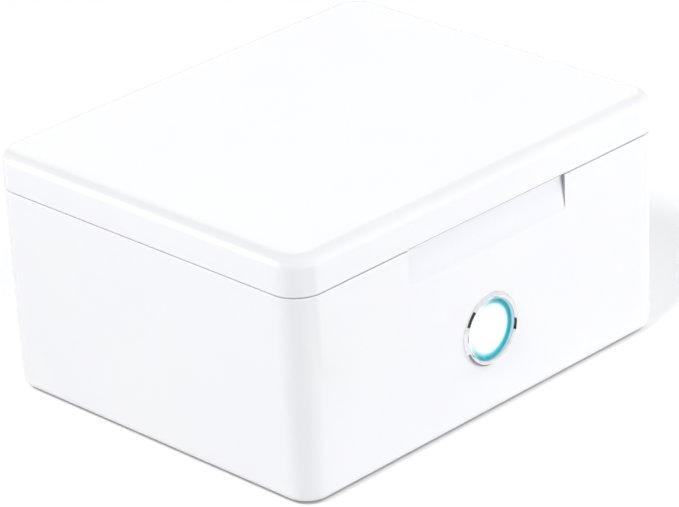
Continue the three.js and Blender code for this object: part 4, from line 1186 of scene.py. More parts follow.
def buildCover():
    sizes = coverSizes
    edge = sizes["edge"]
    levels = []
    for step in range(sizes["edgeSteps"] + 1):
        angle = math.pi / 2 * step / sizes["edgeSteps"]
        height, drawnIn = edge * (1 - math.cos(angle)), edge * (1 - math.sin(angle))
        levels.append(caseLevel(height, sizes["inset"] + drawnIn, sizes["corner"] - drawnIn))
    levels.append((coverTop, levels[-1][1]))
    fanPost = turned(sizes["fanPost"], "Z", steps=32)
    posts = [atCorners(fanPost, fanSizes["hole"], fanSizes["hole"], fanSizes["middle"])]
    for side in (-1, 1):
        for across in (-1, 1):
            x = side * boardSizes["offset"] + across * boardSizes["pegX"]
            posts += [turned(sizes["boardPost"], "Z", (x, boardSizes[key], 0), steps=32)
                      for key in ("pegFront", "pegRear")]
    vents = runTree(slotTree, {
        "Columns": sizes["ventCount"],
        "Rows": 1,
        "Pitch X": 2 * sizes["ventWidth"],
        "Pitch Y": 1.0,
        "Width": sizes["ventWidth"],
        "Middle Width": sizes["ventWidth"],
        "Length": 100.0,
        "Field Radius": sizes["ventField"],
        "Middle Y": fanSizes["middle"],
        "Low": -1.0,
        "Rise": 4.0,
        "Material": finishes["white_satin"],
    })
    sinks = [
        atCorners(turned(sizes["footSink"], "Z"), footSizes["x"], footSizes["y"]),
        atCorners(turned(sizes["screwSink"], "Z", steps=40), screwX, screwY),
    ]
    cover = cut(join(loft(levels), *posts), vents, *sinks)
    finishPiece("coverFinished", cover, "white_satin", "root", ("bottom_cover",))


def buildFeet():
    sizes = footSizes
    stand, edge = sizes["stand"], sizes["edge"]
    dimple = sizes["dimple"]
    foot = [(0, sizes["dimpleDepth"] - stand), (dimple - sizes["dimpleSlope"], sizes["dimpleDepth"] - stand)]
    foot.append((dimple, -stand))
    for step in range(sizes["edgeSteps"] + 1):
        angle = math.pi / 2 * step / sizes["edgeSteps"]
        foot.append((sizes["radius"] - edge * (1 - math.sin(angle)), -stand + edge * (1 - math.cos(angle))))
    foot += [(sizes["radius"], sizes["top"]), (0, sizes["top"])]
    feet = atCorners(turned(foot, "Z"), sizes["x"], sizes["y"], slotName="grey_rubber")
    finishPiece("feetFinished", feet, "grey_rubber", "root", ["foot_" + place for place in fourPlaces])


def buildScrews():
    sizes = screwSizes
    low, high = sizes["headHeight"], sizes["tip"]
    tip = [(sizes["core"], high - sizes["tipLength"]), (sizes["tipRadius"], high), (0, high)]
    reach, half, depth = sizes["crossLength"] / 2, sizes["crossWidth"] / 2, sizes["crossDepth"]
    screw = cut(turned([*sizes["head"], *tip], "Z", steps=40),
                block((-reach, -half, -past), (reach, half, depth)),
                block((-half, -reach, -past), (half, reach, depth)))
    length = high - low - sizes["threadless"]
    thread = runTree(windingTree, {
        "Radius": sizes["core"],
        "Turns": length / sizes["pitch"],
        "Length": length,
        "Wire": sizes["thread"],
        "Sides": 4,
        "Material": finishes["steel"],
    })
    thread = shifted(thread, (0, 0, low + sizes["threadStart"]))
    screws = atCorners(merged(screw, thread), screwX, screwY, slotName="steel")
    finishPiece("screwsFinished", screws, "steel", "root", ["cover_screw_" + place for place in fourPlaces])


# Chamber: the deck, the deep well, the slotted plate over its floor and the heater below
chamberSizes = {
    "halfWidth": 48.0,
    "halfDepth": 34.25,
    "middle": fanSizes["middle"],
    "corner": 8.0,
    "wall": 1.6,
    "lip": 0.8,
    "flange": 1.2,
    "flangeThickness": 0.8,
    "floorFillet": 1.5,
    "ledge": 47.0,
    "deckInset": 2.5,
    "deckEdge": 0.3,
    "duct": 18.0,
    "ductCorner": 1.2,
    "slotHalf": 34.0,
    "slotLow": 37.8,
    "slotHigh": 44.4,
    "slotReach": 4,
    "catchX": 46.0,
    "catchY": -41.2,
    "cup": 4.5,
    "cupLow": 45.4,
    "pocket": 3.3,
    "pocketLow": 46.6,
}
plateSizes = {
    "low": 25.3,
    "high": 26.8,
    "inset": 1.9,
    "edge": 0.4,
    "slotWidth": 3.4,
    "slotLength": 15.0,
    "slotEdge": 0.2,
    "pitchX": 7.6,
    "pitchY": 19.5,
    "columns": 11,
    "rows": 3,
    "liftWidth": 8.8,
    "legX": 42.4,
    "legY": 28.65,
    "leg": 2.0,
    "legEdge": 0.3,
    "legBite": 0.7,
}
heaterSizes = {
    "low": 14.4,
    "high": 20.7,
    "half": 20.0,
    "wall": 1.8,
    "corner": 3.0,
    "innerCorner": 0.8,
    "edge": 0.25,
    "fins": 9,
    "fin": 0.7,
    "finShort": 0.3,
}


# Levels of the well, and above the deck those of the pan and the gasket, which have no draft
def chamberLevel(height, inset):
    sizes = chamberSizes
    drawnIn = inset + draft * max(deckTop - height, 0)
    corner = max(sizes["corner"] - drawnIn, caseSizes["leastCorner"])
    halfWidth, halfDepth = sizes["halfWidth"] - drawnIn, sizes["halfDepth"] - drawnIn
    return height, roundedRectangle(halfWidth, halfDepth, corner, sizes["middle"])


def column(half, corner, middle, low, high):
    outline = roundedRectangle(half, half, corner, middle)
    return loft([(low, outline), (high, outline)])


def buildDeck():
    sizes = chamberSizes
    wall, lip, ledge, edge = sizes["wall"], sizes["lip"], sizes["ledge"], sizes["deckEdge"]
    deck = [caseLevel(ledge, sizes["deckInset"])]
    deck += edgeArc(caseLevel, deckTop - edge, sizes["deckInset"] + edge, edge, 0, 90)
    deck += edgeArc(chamberLevel, deckTop - lip, wall - lip, lip, 90, 180, steps=6)
    deck.append(chamberLevel(ledge, wall))
    places = [(sign * sizes["catchX"], sizes["catchY"], 0) for sign in (-1, 1)]
    cups = [rod("Z", place, sizes["cup"], sizes["cupLow"], ledge + 0.5) for place in places]
    pockets = [rod("Z", place, sizes["pocket"], sizes["pocketLow"], deckTop + past) for place in places]
    deck = cut(join(loft(deck, "joined"), *cups), *pockets)
    finishPiece("deckFinished", deck, "silver_coat", "root", ("chamber_deck",))


def buildLiner():
    sizes = chamberSizes
    wall, ledge, flange, fillet = sizes["wall"], sizes["ledge"], sizes["flange"], sizes["floorFillet"]
    floorTop = chamberFloor + wall
    under = ledge - sizes["flangeThickness"]
    liner = edgeArc(chamberLevel, floorTop, wall, wall, -90, 0, steps=6)
    liner += [chamberLevel(under, 0), chamberLevel(under, -flange), chamberLevel(ledge, -flange)]
    liner.append(chamberLevel(ledge, wall))
    liner += edgeArc(chamberLevel, floorTop + fillet, wall + fillet, fillet, 0, -90, steps=6)
    duct = column(sizes["duct"], sizes["ductCorner"], sizes["middle"], chamberFloor - past, floorTop + past)
    rear = sizes["middle"] + sizes["halfDepth"]
    slot = block((-sizes["slotHalf"], rear - sizes["slotReach"], sizes["slotLow"]),
                 (sizes["slotHalf"], rear + past, sizes["slotHigh"]))
    finishPiece("linerFinished", cut(loft(liner), duct, slot), "silver_coat", "root", ("chamber_liner",))


def buildPlate():
    sizes = plateSizes
    low, high, edge, leg = sizes["low"], sizes["high"], sizes["edge"], sizes["leg"]
    floorTop = chamberFloor + chamberSizes["wall"]
    plate = [chamberLevel(low, sizes["inset"])]
    plate += edgeArc(chamberLevel, high - edge, sizes["inset"] + edge, edge, 0, 90)
    slots = runTree(slotTree, {
        "Columns": sizes["columns"],
        "Rows": sizes["rows"],
        "Pitch X": sizes["pitchX"],
        "Pitch Y": sizes["pitchY"],
        "Width": sizes["slotWidth"],
        "Middle Width": sizes["liftWidth"],
        "Length": sizes["slotLength"],
        "Field Radius": 1000.0,
        "Middle Y": chamberSizes["middle"],
        "Low": low - past,
        "Rise": 4.0,
        "Material": finishes["white_satin"],
    })
    plate = softenEdges(cut(loft(plate), slots), sizes["slotEdge"], sharpDegrees=60)
    top, foot = low + sizes["legBite"], sizes["legEdge"]
    legs = [(0, floorTop), (leg - foot, floorTop), (leg, floorTop + foot), (leg, top), (0, top)]
    legs = atCorners(turned(legs, "Z", steps=32), sizes["legX"], sizes["legY"], chamberSizes["middle"])
    finishPiece("plateFinished", join(plate, legs), "white_satin", "root", ("diffuser_plate",))


def buildHeater():
    sizes = heaterSizes
    low, high, half, middle = sizes["low"], sizes["high"], sizes["half"], chamberSizes["middle"]
    inner = half - sizes["wall"]
    outside = column(half, sizes["corner"], middle, low, high)
    hollow = column(inner, sizes["innerCorner"], middle, low - past, high + past)
    fins = runTree(finTree, {
        "Count": sizes["fins"],
        "Span": 2 * inner * (sizes["fins"] - 1) / (sizes["fins"] + 1),
        "Thickness": sizes["fin"],
        "Depth": 2 * inner + sizes["wall"],
        "Height": high - low - sizes["finShort"],
        "Middle Y": middle,
        "Middle Z": (high + low) / 2,
        "Material": finishes["aluminium"],
    })
    heater = join(softenEdges(cut(outside, hollow), sizes["edge"]), fins)
    finishPiece("heaterFinished", heater, "aluminium", "root", ("heater_core",))


# Fan: a square frame, and an impeller whose blades flatten towards their tips
def buildFanFrame():
    sizes = fanSizes
    middle = (0, 0, 0)
    top, strut, step = sizes["height"], sizes["strut"], sizes["step"]
    reach, half = sizes["bore"] + sizes["strutBite"], sizes["strutWidth"] / 2
    bore = rod("Z", middle, sizes["bore"], -past, top + past, steps=96)
    hole = rod("Z", middle, sizes["holeRadius"], -past, top + past, steps=32)
    walls = cut(column(sizes["half"], sizes["corner"], 0, 0, top), bore,
                atCorners(hole, sizes["hole"], sizes["hole"]))
    # Each part starts a little higher than the last, so that no two faces lie in one plane
    struts = [block((-reach, -half, 0), (reach, half, strut)),
              block((-half, -reach, step), (half, reach, strut + step))]
    base = rod("Z", middle, sizes["base"], 2 * step, strut + 5 * step, steps=64)
    tube = rod("Z", middle, sizes["tube"], 3 * step, top / 2, steps=40)
    bearing = rod("Z", middle, sizes["bearing"], strut / 2, top, steps=32)
    mesh = cut(join(softenEdges(walls, sizes["edge"]), *struts, base, tube), bearing)
    mesh = shifted(mesh, (0, sizes["middle"], sizes["bottom"]))
    finishPiece("fanFrameFinished", mesh, "black_plastic", "root", ("fan_frame",))


def buildBlade():
    sizes = fanSizes
    inner = sizes["hub"] - sizes["hubWall"] / 2
    rise, trimStart = sizes["bladeRise"] / 2, sizes["trimStart"]
    rings = []
    for step in range(sizes["bladeSteps"] + 1):
        share = step / sizes["bladeSteps"]
        radius = inner + share * (sizes["bladeReach"] - inner)
        pitch = math.radians(sizes["rootPitch"] + share * (sizes["tipPitch"] - sizes["rootPitch"]))
        run = rise / math.tan(pitch)
        half = sizes["bladeThickness"] / 2 / math.sin(pitch) * 0.95
        beyond = max(share - trimStart, 0) / (1 - trimStart)
        trim = 1 - sizes["trim"] * beyond ** 2
        ring = []
        for along, side in sizes["section"]:
            angle = (along * run * trim + side * half) / radius
            ring.append((radius * math.cos(angle), radius * math.sin(angle), along * rise * trim))
        rings.append(ring)
    strut, gap = sizes["strut"], sizes["hubGap"]
    return shifted(skin(rings), (0, 0, strut + gap + (sizes["height"] - strut) / 2))


def buildImpeller():
    sizes = fanSizes
    low, top = sizes["hubBottom"], sizes["height"] - sizes["hubGap"]
    wall, hub, axle, label = sizes["hubWall"], sizes["hub"], sizes["axle"], sizes["label"]
    profile = [(0, low), (axle - 0.2, low), (axle, low + 0.2), (axle, top - wall), (hub - wall, top - wall)]
    profile += [(hub - wall, low), (hub, low), (hub, top - 1)]
    for step in range(1, sizes["hubEdgeSteps"] + 1):
        angle = math.pi / 2 * step / sizes["hubEdgeSteps"]
        profile.append((hub - 1 + math.cos(angle), top - 1 + math.sin(angle)))
    sunk = top - sizes["labelDepth"]
    profile += [(label, top), (label - sizes["labelDepth"], sunk), (0, sunk)]
    blades = repeated(roundTree, buildBlade(), {
        "Count": sizes["blades"],
        "Material": finishes["black_plastic"],
    })
    impeller = shifted(join(turned(profile, "Z", steps=72), blades), (0, sizes["middle"], sizes["bottom"]))
    finishPiece("impellerFinished", impeller, "black_plastic", "fan", ("fan_impeller",))


# Lid's inside: the bright pan and the soft gasket round it
panSizes = {
    "rise": 0.4,
    "flange": 1.8,
    "flangeInset": 2.5,
    "wall": 1.2,
    "high": 6.3,
    "edge": 0.4,
    "keeperDepth": 1.0,
    "keeper": 3.2,
    "sensor": 2.2,
}
# The gasket's neck sits in the pan: depths below it, and how far it is drawn in from the bulb's width
gasketSizes = {
    "offset": 0.6,
    "width": 2.8,
    "gap": 0.3,
    "neck": ((0, 0), (0.25, 0), (0.35, 0.25), (0.55, 0.15)),
    "bulbInset": 0.1,
    "bulbSteps": 10,
}


def buildPan():
    sizes = panSizes
    wall, liner, edge, flange = sizes["wall"], chamberSizes["wall"], sizes["edge"], sizes["flange"]
    bottom, top, inset = lidRim + sizes["rise"], lidRim + sizes["high"], sizes["flangeInset"]
    levels = edgeArc(chamberLevel, top - 2 * wall, liner + wall, wall, 90, 0, steps=6)
    levels += [chamberLevel(bottom + edge, liner), chamberLevel(bottom, liner - edge)]
    levels += [caseLevel(bottom, inset + edge / 2), caseLevel(bottom + edge / 2, inset)]
    levels += [caseLevel(bottom + flange, inset), chamberLevel(bottom + flange, liner - wall)]
    levels += edgeArc(chamberLevel, top - wall, liner, wall, 0, 90, steps=6)
    x, y = chamberSizes["catchX"], chamberSizes["catchY"]
    pockets = [rod("Z", (across, y, 0), radius, bottom - past, bottom + sizes["keeperDepth"])
               for across, radius in ((-x, sizes["keeper"]), (x, sizes["keeper"]), (0, sizes["sensor"]))]
    finishPiece("panFinished", cut(loft(levels), *pockets), "silver_coat", "lid", ("lid_pan",))


def buildGasket():
    sizes = gasketSizes
    bottom, low = lidRim + panSizes["rise"], deckTop + sizes["gap"]
    half = sizes["width"] / 2
    middle, neck = sizes["offset"] + half, sizes["neck"]
    bulb = bottom - low - neck[-1][0]
    levels = [chamberLevel(bottom - drop, drawnIn - middle - half) for drop, drawnIn in neck]
    for step in range(sizes["bulbSteps"] + 1):
        angle = math.pi * step / sizes["bulbSteps"]
        out = middle + (half - sizes["bulbInset"]) * math.cos(angle)
        levels.append(chamberLevel(low + bulb * (1 - math.sin(angle)), -out))
    levels += [chamberLevel(bottom - drop, half - middle - drawnIn) for drop, drawnIn in reversed(neck)]
    finishPiece("gasketFinished", loft(levels, "joined"), "grey_rubber", "lid", ("lid_gasket",))


# Catch and sensor: small turned pieces with broken edges
def disc(node, slotName, body, edge):
    low, high = caseBox(node)
    radius = (high.x - low.x) / 2
    side = ((radius - edge, 0), (radius - edge * 0.3, edge * 0.3), (radius, edge))
    profile = [(0, low.z), *[(out, low.z + up) for out, up in side]]
    profile += [(out, high.z - up) for out, up in reversed(side)]
    profile.append((0, high.z))
    mesh = turned(profile, "Z", ((low.x + high.x) / 2, (low.y + high.y) / 2, 0))
    finishPiece(node + "Finished", mesh, slotName, body, (node,))


# A piece that lies along X: half its height, its right end and the place of its axis
def alongX(node):
    low, high = caseBox(node)
    return (high.z - low.z) / 2, high.x, (0, (low.y + high.y) / 2, (low.z + high.z) / 2)


reedSizes = {
    "stub": 1.2,
    "stubRadius": 0.4,
    "shoulder": 1.9,
    "shoulderDrop": 0.2,
    "taper": 2.4,
    "overlap": 0.8,
    "bladeHalf": 0.25,
    "bladeLow": 0.04,
    "bladeHigh": 0.22,
    "bladeEdge": 0.04,
}


def buildSmallPieces():
    for side in ("left", "right"):
        disc("catch_magnet_" + side, "nickel", "root", 0.3)
        disc("lid_keeper_" + side, "nickel", "lid", 0.15)
        node = "hinge_pin_" + side
        low, high = caseBox(node)
        radius, right, place = alongX(node)
        edge = 0.3
        pin = [(0, low.x), (radius - edge, low.x), (radius, low.x + edge), (radius, right - edge),
               (radius - edge, right), (0, right)]
        finishPiece("pinFinished_" + side, turned(pin, "X", place, steps=32), "steel", "root", (node,))
    disc("sensor_magnet", "nickel", "lid", 0.15)
    sizes = reedSizes
    radius, end, place = alongX("lid_sensor")
    half = [(0, sizes["stub"]), (sizes["stubRadius"], sizes["stub"]),
            (radius - sizes["shoulderDrop"], sizes["shoulder"]), (radius, sizes["taper"])]
    tube = [(out, drop - end) for out, drop in half] + [(out, end - drop) for out, drop in reversed(half)]
    glass = turned(tube, "X", place, steps=32)
    finishPiece("reedGlassFinished", glass, "clear_glass", "root", ("lid_sensor",))
    overlap, across, low, high = (sizes[key] for key in ("overlap", "bladeHalf", "bladeLow", "bladeHigh"))
    blades = [block((-end, -across, low), (overlap, across, high)),
              block((-overlap, -across, -high), (end, across, -low))]
    blades = merged(*[softenEdges(blade, sizes["bladeEdge"]) for blade in blades])
    finishPiece("reedBlades", shifted(blades, place), "nickel", "root")


# Lamp: a hollow tube with capped ends before its trough
lampTubeSizes = {
    "wall": 0.45,
    "inCap": 0.05,
    "cap": 5.0,
    "pinRadius": 0.6,
    "pin": 0.4,
    "capEdge": 0.5,
    "crimp": 0.4,
    "crimpDepth": 0.15,
    "electrode": 3.2,
    "electrodeRadius": 0.35,
    "trough": 0.5,
    "troughSteps": 24,
}


def buildLamp():
    sizes = lampTubeSizes
    radius, end, place = alongX("germicidal_lamp")
    inner, stop = radius - sizes["wall"], end - sizes["cap"]
    glass = radius - sizes["inCap"]
    tube = [(inner, -stop), (glass, -stop), (glass, stop), (inner, stop), (inner, -stop)]
    finishPiece("lampFinished", turned(tube, "X", place), "clear_glass", "root", ("germicidal_lamp",))
    pin, edge, wire = sizes["pinRadius"], sizes["capEdge"], sizes["electrodeRadius"]
    sunk, tip = end - sizes["pin"], stop - sizes["electrode"]
    cap = [(0, sunk), (pin, sunk), (pin, end), (radius - edge, end), (radius, end - edge),
           (radius, stop + sizes["crimp"]), (radius - sizes["crimpDepth"], stop), (wire, stop), (wire, tip),
           (0, tip)]
    caps = [turned([(out, sign * along) for out, along in cap], "X", place) for sign in (-1, 1)]
    finishPiece("lampCaps", merged(*caps), "nickel", "root")
    low, high = caseBox("lamp_reflector")
    y, z = place[1:]
    radius, wall, steps = z - low.z, sizes["trough"], sizes["troughSteps"]
    inner = radius - wall
    turns = [math.radians(-90 + 180 * step / steps) for step in range(steps + 1)]
    outline = [(y + radius * math.cos(angle), z + radius * math.sin(angle)) for angle in turns]
    outline += [(y, high.z), (y - wall, high.z), (y - wall, z + inner), (y, z + inner)]
    outline += [(y + inner * math.cos(angle), z + inner * math.sin(angle)) for angle in reversed(turns)]
    outline = [point for k, point in enumerate(outline) if point != outline[k - 1]]
    trough = prismAlongX(outline, low.x, high.x)
    finishPiece("troughFinished", trough, "aluminium", "root", ("lamp_reflector",))


# Nodes whose own shape is kept: their finish, and the width of their soft edges
lampCopies = {
    "lamp_window": ("clear_glass", 0.2),
    "lamp_holder_left": ("ceramic", 0.3),
    "lamp_holder_right": ("ceramic", 0.3),
}
boardCopies = {
    "control_board": ("green_board", 0.08),
    "lamp_driver_board": ("green_board", 0.08),
    "button_board": ("green_board", 0.08),
    "button_housing": ("white_satin", 0.15),
    "tact_switch": ("black_plastic", 0.15),
    "transformer_core": ("black_plastic", 0.3),
    **{"ring_led_" + str(number): ("milky_white", 0.15) for number in range(1, 5)},
}


def buildCopies(copies):
    for node, (slotName, width) in copies.items():
        softCopy(node, slotName, width)


plungerSizes = {"lead": 0.3, "edge": 0.1}
jackSizes = {
    "bodyDepth": 12,
    "bodyEdge": 0.4,
    "barrelStart": 6,
    "barrel": ((3.7, 0.3), (3.6, 0.08), (3.4, 0), (0, 0)),
    "bore": ((2.8, 0.4), (3.05, -0.05), (0, -0.05)),
    "boreDepth": 9.5,
    "pin": ((0.7, 1.4), (0.55, 1.1), (0.25, 1), (0, 1)),
    "pinSink": 0.5,
}


def buildPlunger():
    lead, edge = plungerSizes["lead"], plungerSizes["edge"]
    low, high = caseBox("switch_plunger")
    radius = (high.x - low.x) / 2
    plunger = [(0, low.y), (radius - lead, low.y), (radius, low.y + lead), (radius, high.y - edge),
               (radius - edge, high.y), (0, high.y)]
    plunger = turned(plunger, "Y", (0, 0, (low.z + high.z) / 2), steps=40)
    finishPiece("plungerFinished", plunger, "black_plastic", "button", ("switch_plunger",))


# Power jack: depths of its barrel, bore and pin count inwards from the barrel's face
def buildJack():
    sizes = jackSizes
    low, high = caseBox("power_jack")
    place = ((low.x + high.x) / 2, 0, (low.z + high.z) / 2)
    face, start = high.y, low.y + sizes["barrelStart"]
    end = face - sizes["boreDepth"]
    body = softenEdges(block(low, (high.x, low.y + sizes["bodyDepth"], high.z)), sizes["bodyEdge"])
    parts = []
    for key, foot, steps in (("barrel", start, 64), ("bore", end, 64), ("pin", end - sizes["pinSink"], 32)):
        outline = [(0, foot), (sizes[key][0][0], foot), *[(out, face - drop) for out, drop in sizes[key]]]
        parts.append(turned(outline, "Y", place, steps=steps))
    barrel, bore, pin = parts
    finishPiece("jackFinished", cut(join(body, barrel), bore), "black_plastic", "root", ("power_jack",))
    finishPiece("jackPin", pin, "nickel", "root")


chipSizes = {
    "bodyHalf": 2.7,
    "lift": 0.12,
    "edge": 0.12,
    "dimple": 0.45,
    "dimpleInset": 0.9,
    "dimpleDepth": 0.1,
    "leads": 8,
    "pitch": 1.15,
    "lead": 0.42,
    "leadThickness": 0.15,
    "leadPath": ((-0.2, 0.8), (0.25, 0.8), (0.4, 0.0)),
}


def buildChip():
    sizes = chipSizes
    low, high = caseBox("control_chip")
    middle, size = (low + high) / 2, high - low
    half, long = sizes["bodyHalf"], size.y / 2
    body = softenEdges(block((-half, -long, sizes["lift"]), (half, long, size.z)), sizes["edge"])
    spot = (sizes["dimpleInset"] - half, sizes["dimpleInset"] - long, 0)
    dimple = rod("Z", spot, sizes["dimple"], size.z - sizes["dimpleDepth"], size.z + past, steps=24)
    place = (middle.x, middle.y, low.z)
    finishPiece("chipFinished", shifted(cut(body, dimple), place), "black_plastic", "root", ("control_chip",))
    thick, across = sizes["leadThickness"], sizes["lead"] / 2
    path = [*[(half + out, up) for out, up in sizes["leadPath"]], (size.x / 2, 0.0)]
    outline = path + [(x, z + thick) for x, z in reversed(path)]
    lead = skin([[(x, y, z) for x, z in outline] for y in (-across, across)])
    leads = repeated(leadTree, lead, {
        "Count": sizes["leads"],
        "Span": sizes["pitch"] * (sizes["leads"] - 1),
        "Material": finishes["nickel"],
    })
    finishPiece("chipLeads", shifted(leads, place), "nickel", "root")


# Capacitor: a shrunk sleeve with a groove near its foot, and the scored can that shows at its top
capacitorSizes = {
    "edge": 0.4,
    "groove": 0.25,
    "grooveHeights": (1.2, 1.6, 2.0),
    "topEdge": 0.35,
    "rim": 0.6,
    "sunk": 0.3,
    "can": ((0.62, 0.35), (0.62, 0.08), (0.7, 0.05)),
    "score": 0.25,
    "scoreHalf": 0.12,
    "scoreInset": 1.3,
}


def buildCapacitor():
    sizes = capacitorSizes
    low, high = caseBox("smoothing_capacitor")
    place = ((low.x + high.x) / 2, (low.y + high.y) / 2, 0)
    radius, edge, top = (high.x - low.x) / 2, sizes["edge"], high.z
    first, deepest, last = (low.z + height for height in sizes["grooveHeights"])
    rim, sunk = radius - sizes["rim"], top - sizes["sunk"]
    sleeve = [(0, low.z), (radius - edge, low.z), (radius, low.z + edge), (radius, first),
              (radius - sizes["groove"], deepest), (radius, last), (radius, top - edge),
              (radius - sizes["topEdge"], top), (rim, top), (rim, sunk), (0, sunk)]
    finishPiece("capacitorFinished", turned(sleeve, "Z", place, steps=56), "black_plastic", "root",
                ("smoothing_capacitor",))
    can = [(radius - inset, top - drop) for inset, drop in sizes["can"]]
    foot, face = can[0][1], can[-1][1]
    can = [(0, foot), *can, (0, face)]
    reach, half, bottom = radius - sizes["scoreInset"], sizes["scoreHalf"], face - sizes["score"]
    can = cut(turned(can, "Z", steps=56), block((-reach, -half, bottom), (reach, half, top + past)),
              block((-half, -reach, bottom), (half, reach, top + past)))
    finishPiece("capacitorTop", shifted(can, place), "aluminium", "root")


coilSizes = {"wire": 0.34, "pitch": 2.06, "core": 5.0, "flange": 0.9, "edge": 0.2}


def buildCoil():
    sizes = coilSizes
    low, high = caseBox("transformer_coil")
    middle = (low + high) / 2
    radius, length = (high.z - low.z) / 2, high.x - low.x
    wire, core, flange, edge = sizes["wire"], sizes["core"], sizes["flange"], sizes["edge"]
    room = length - 2 * flange - 2 * wire
    winding = runTree(windingTree, {
        "Radius": core + wire,
        "Turns": float(int(room / (sizes["pitch"] * wire))),
        "Length": room,
        "Wire": wire,
        "Sides": 10,
        "Material": finishes["copper"],
    })
    winding = shifted(winding, (0, 0, -room / 2))
    winding.transform(Matrix.Rotation(math.pi / 2, 4, "Y"))
    finishPiece("coilFinished", shifted(winding, middle), "copper", "root", ("transformer_coil",))
    end = length / 2
    half = [(0, end), (radius - edge, end), (radius, end - edge), (radius, end - flange + edge),
            (radius - edge, end - flange), (core, end - flange)]
    bobbin = [(out, -along) for out, along in half] + half[::-1]
    finishPiece("bobbin", turned(bobbin, "X", middle, steps=64), "ceramic", "root")


buildCover()
buildFeet()
buildScrews()
print("underside built")
buildDeck()
buildLiner()
buildPlate()
buildHeater()
print("chamber built")
buildFanFrame()
buildImpeller()
print("fan built")
buildPan()
buildGasket()
buildSmallPieces()
buildLamp()
buildCopies(lampCopies)
print("lamp and lid's inside built")
buildCopies(boardCopies)
buildPlunger()
buildJack()
buildChip()
buildCapacitor()
buildCoil()
print("boards built")


# Camera at the photograph's viewing angle; places in millimetres from the middle of the case's bottom
cameraSizes = {
    "place": (-582.70, -590.38, 419.11),
    "azimuth": -44.71,
    "elevation": 25.40,
    "roll": -2.78,
    "lens": 210.06,
    "sensor": 36,
    "clipEnd": 20,
}


def placeCamera():
    sizes = cameraSizes
    azimuth, elevation, roll = (math.radians(sizes[key]) for key in ("azimuth", "elevation", "roll"))
    level = Vector((math.cos(azimuth), math.sin(azimuth), 0))
    back = Vector((math.sin(azimuth) * math.cos(elevation), -math.cos(azimuth) * math.cos(elevation),
                   math.sin(elevation)))
    rise = back.cross(level)
    right = level * math.cos(roll) + rise * math.sin(roll)
    up = rise * math.cos(roll) - level * math.sin(roll)
    camera = addObject("studioCamera", bpy.data.cameras.new("studioCamera"))
    camera.data.sensor_width = sizes["sensor"]
    camera.data.lens = sizes["lens"]
    camera.data.clip_end = sizes["clipEnd"]
    turn = Matrix((right, up, back)).transposed().to_4x4()
    camera.matrix_world = Matrix.Translation(caseToFrame @ Vector(sizes["place"])) @ turn
    bpy.context.scene.camera = camera


placeCamera()


# Studio: a pale floor that fades into white, an even white surround and soft boxes
def seenDirectly(tree):
    path = addNode(tree, "ShaderNodeLightPath").outputs
    seen = path["Is Camera Ray"]
    for kind in ("Is Glossy Ray", "Is Transmission Ray"):
        seen = addNode(tree, "ShaderNodeMath", {"operation": "MAXIMUM", 0: seen, 1: path[kind]}).outputs[0]
    return seen


studioSizes = {
    "surround": 0.3,
    "surroundColour": "F9FAFF",
    "floorColour": (0.85, 0.85, 0.86, 1),
    "floorGlow": 0.31,
    "floorSpan": 6.0,
    "floorDrop": 0.00005,
    "shadeStart": -2.9,
    "shadeEnd": -1.9,
    "aim": (0, 0, 0.03),
}


# The floor's lift fades under the case, a painted contact shadow: the thin dark line where the case meets the
# floor
def liftBesideCase(tree):
    corner = caseSizes["cornerRadius"]
    beyond = addNode(tree, "ShaderNodeTexCoord").outputs["Object"]
    for operation, other in (
            ("SUBTRACT", caseToFrame @ Vector((0, 0, 0))),
            ("ABSOLUTE", (0, 0, 0)),
            ("SUBTRACT", ((caseHalfWidth - corner) * mm, (caseHalfDepth - corner) * mm, 1)),
            ("MAXIMUM", (0, 0, 0)),
    ):
        terms = {"operation": operation, 0: beyond, 1: other}
        beyond = addNode(tree, "ShaderNodeVectorMath", terms).outputs[0]
    away = addNode(tree, "ShaderNodeVectorMath", {"operation": "LENGTH", 0: beyond})
    return addNode(tree, "ShaderNodeMapRange", {
        "interpolation_type": "SMOOTHSTEP",
        "Value": away.outputs["Value"],
        "From Min": (corner + studioSizes["shadeStart"]) * mm,
        "From Max": (corner + studioSizes["shadeEnd"]) * mm,
        "To Min": 0,
        "To Max": studioSizes["floorGlow"],
    }).outputs[0]


def buildStudio():
    scene = bpy.context.scene
    scene.view_settings.view_transform = "Standard"
    scene.world = bpy.data.worlds.new("whiteSurround")
    scene.world.use_nodes = True
    tree = scene.world.node_tree
    tree.nodes.clear()
    dim = addNode(tree, "ShaderNodeBackground", {
        "Color": linear(studioSizes["surroundColour"]),
        "Strength": studioSizes["surround"],
    })
    white = addNode(tree, "ShaderNodeBackground", {"Color": (1, 1, 1, 1), "Strength": 1.0})
    mixed = addNode(tree, "ShaderNodeMixShader", {
        0: seenDirectly(tree),
        1: dim.outputs[0],
        2: white.outputs[0],
    })
    addNode(tree, "ShaderNodeOutputWorld", {"Surface": mixed.outputs[0]})
    material = bpy.data.materials.new("paleFloor")
    material.use_nodes = True
    tree = material.node_tree
    tree.nodes.clear()
    matt = addNode(tree, "ShaderNodeBsdfDiffuse", {"Color": studioSizes["floorColour"]})
    glow = addNode(tree, "ShaderNodeEmission", {"Color": (1, 1, 1, 1), "Strength": liftBesideCase(tree)})
    lifted = addNode(tree, "ShaderNodeAddShader", {0: matt.outputs[0], 1: glow.outputs[0]})
    mixed = addNode(tree, "ShaderNodeMixShader", {
        0: seenDirectly(tree),
        1: matt.outputs[0],
        2: lifted.outputs[0],
    })
    addNode(tree, "ShaderNodeOutputMaterial", {"Surface": mixed.outputs[0]})
    work = bmesh.new()
    bmesh.ops.create_grid(work, x_segments=1, y_segments=1, size=studioSizes["floorSpan"] / 2)
    floor = addObject("studioFloor", asMesh(work))
    floor.data.materials.append(material)
    floor.location.z = -studioSizes["floorDrop"]


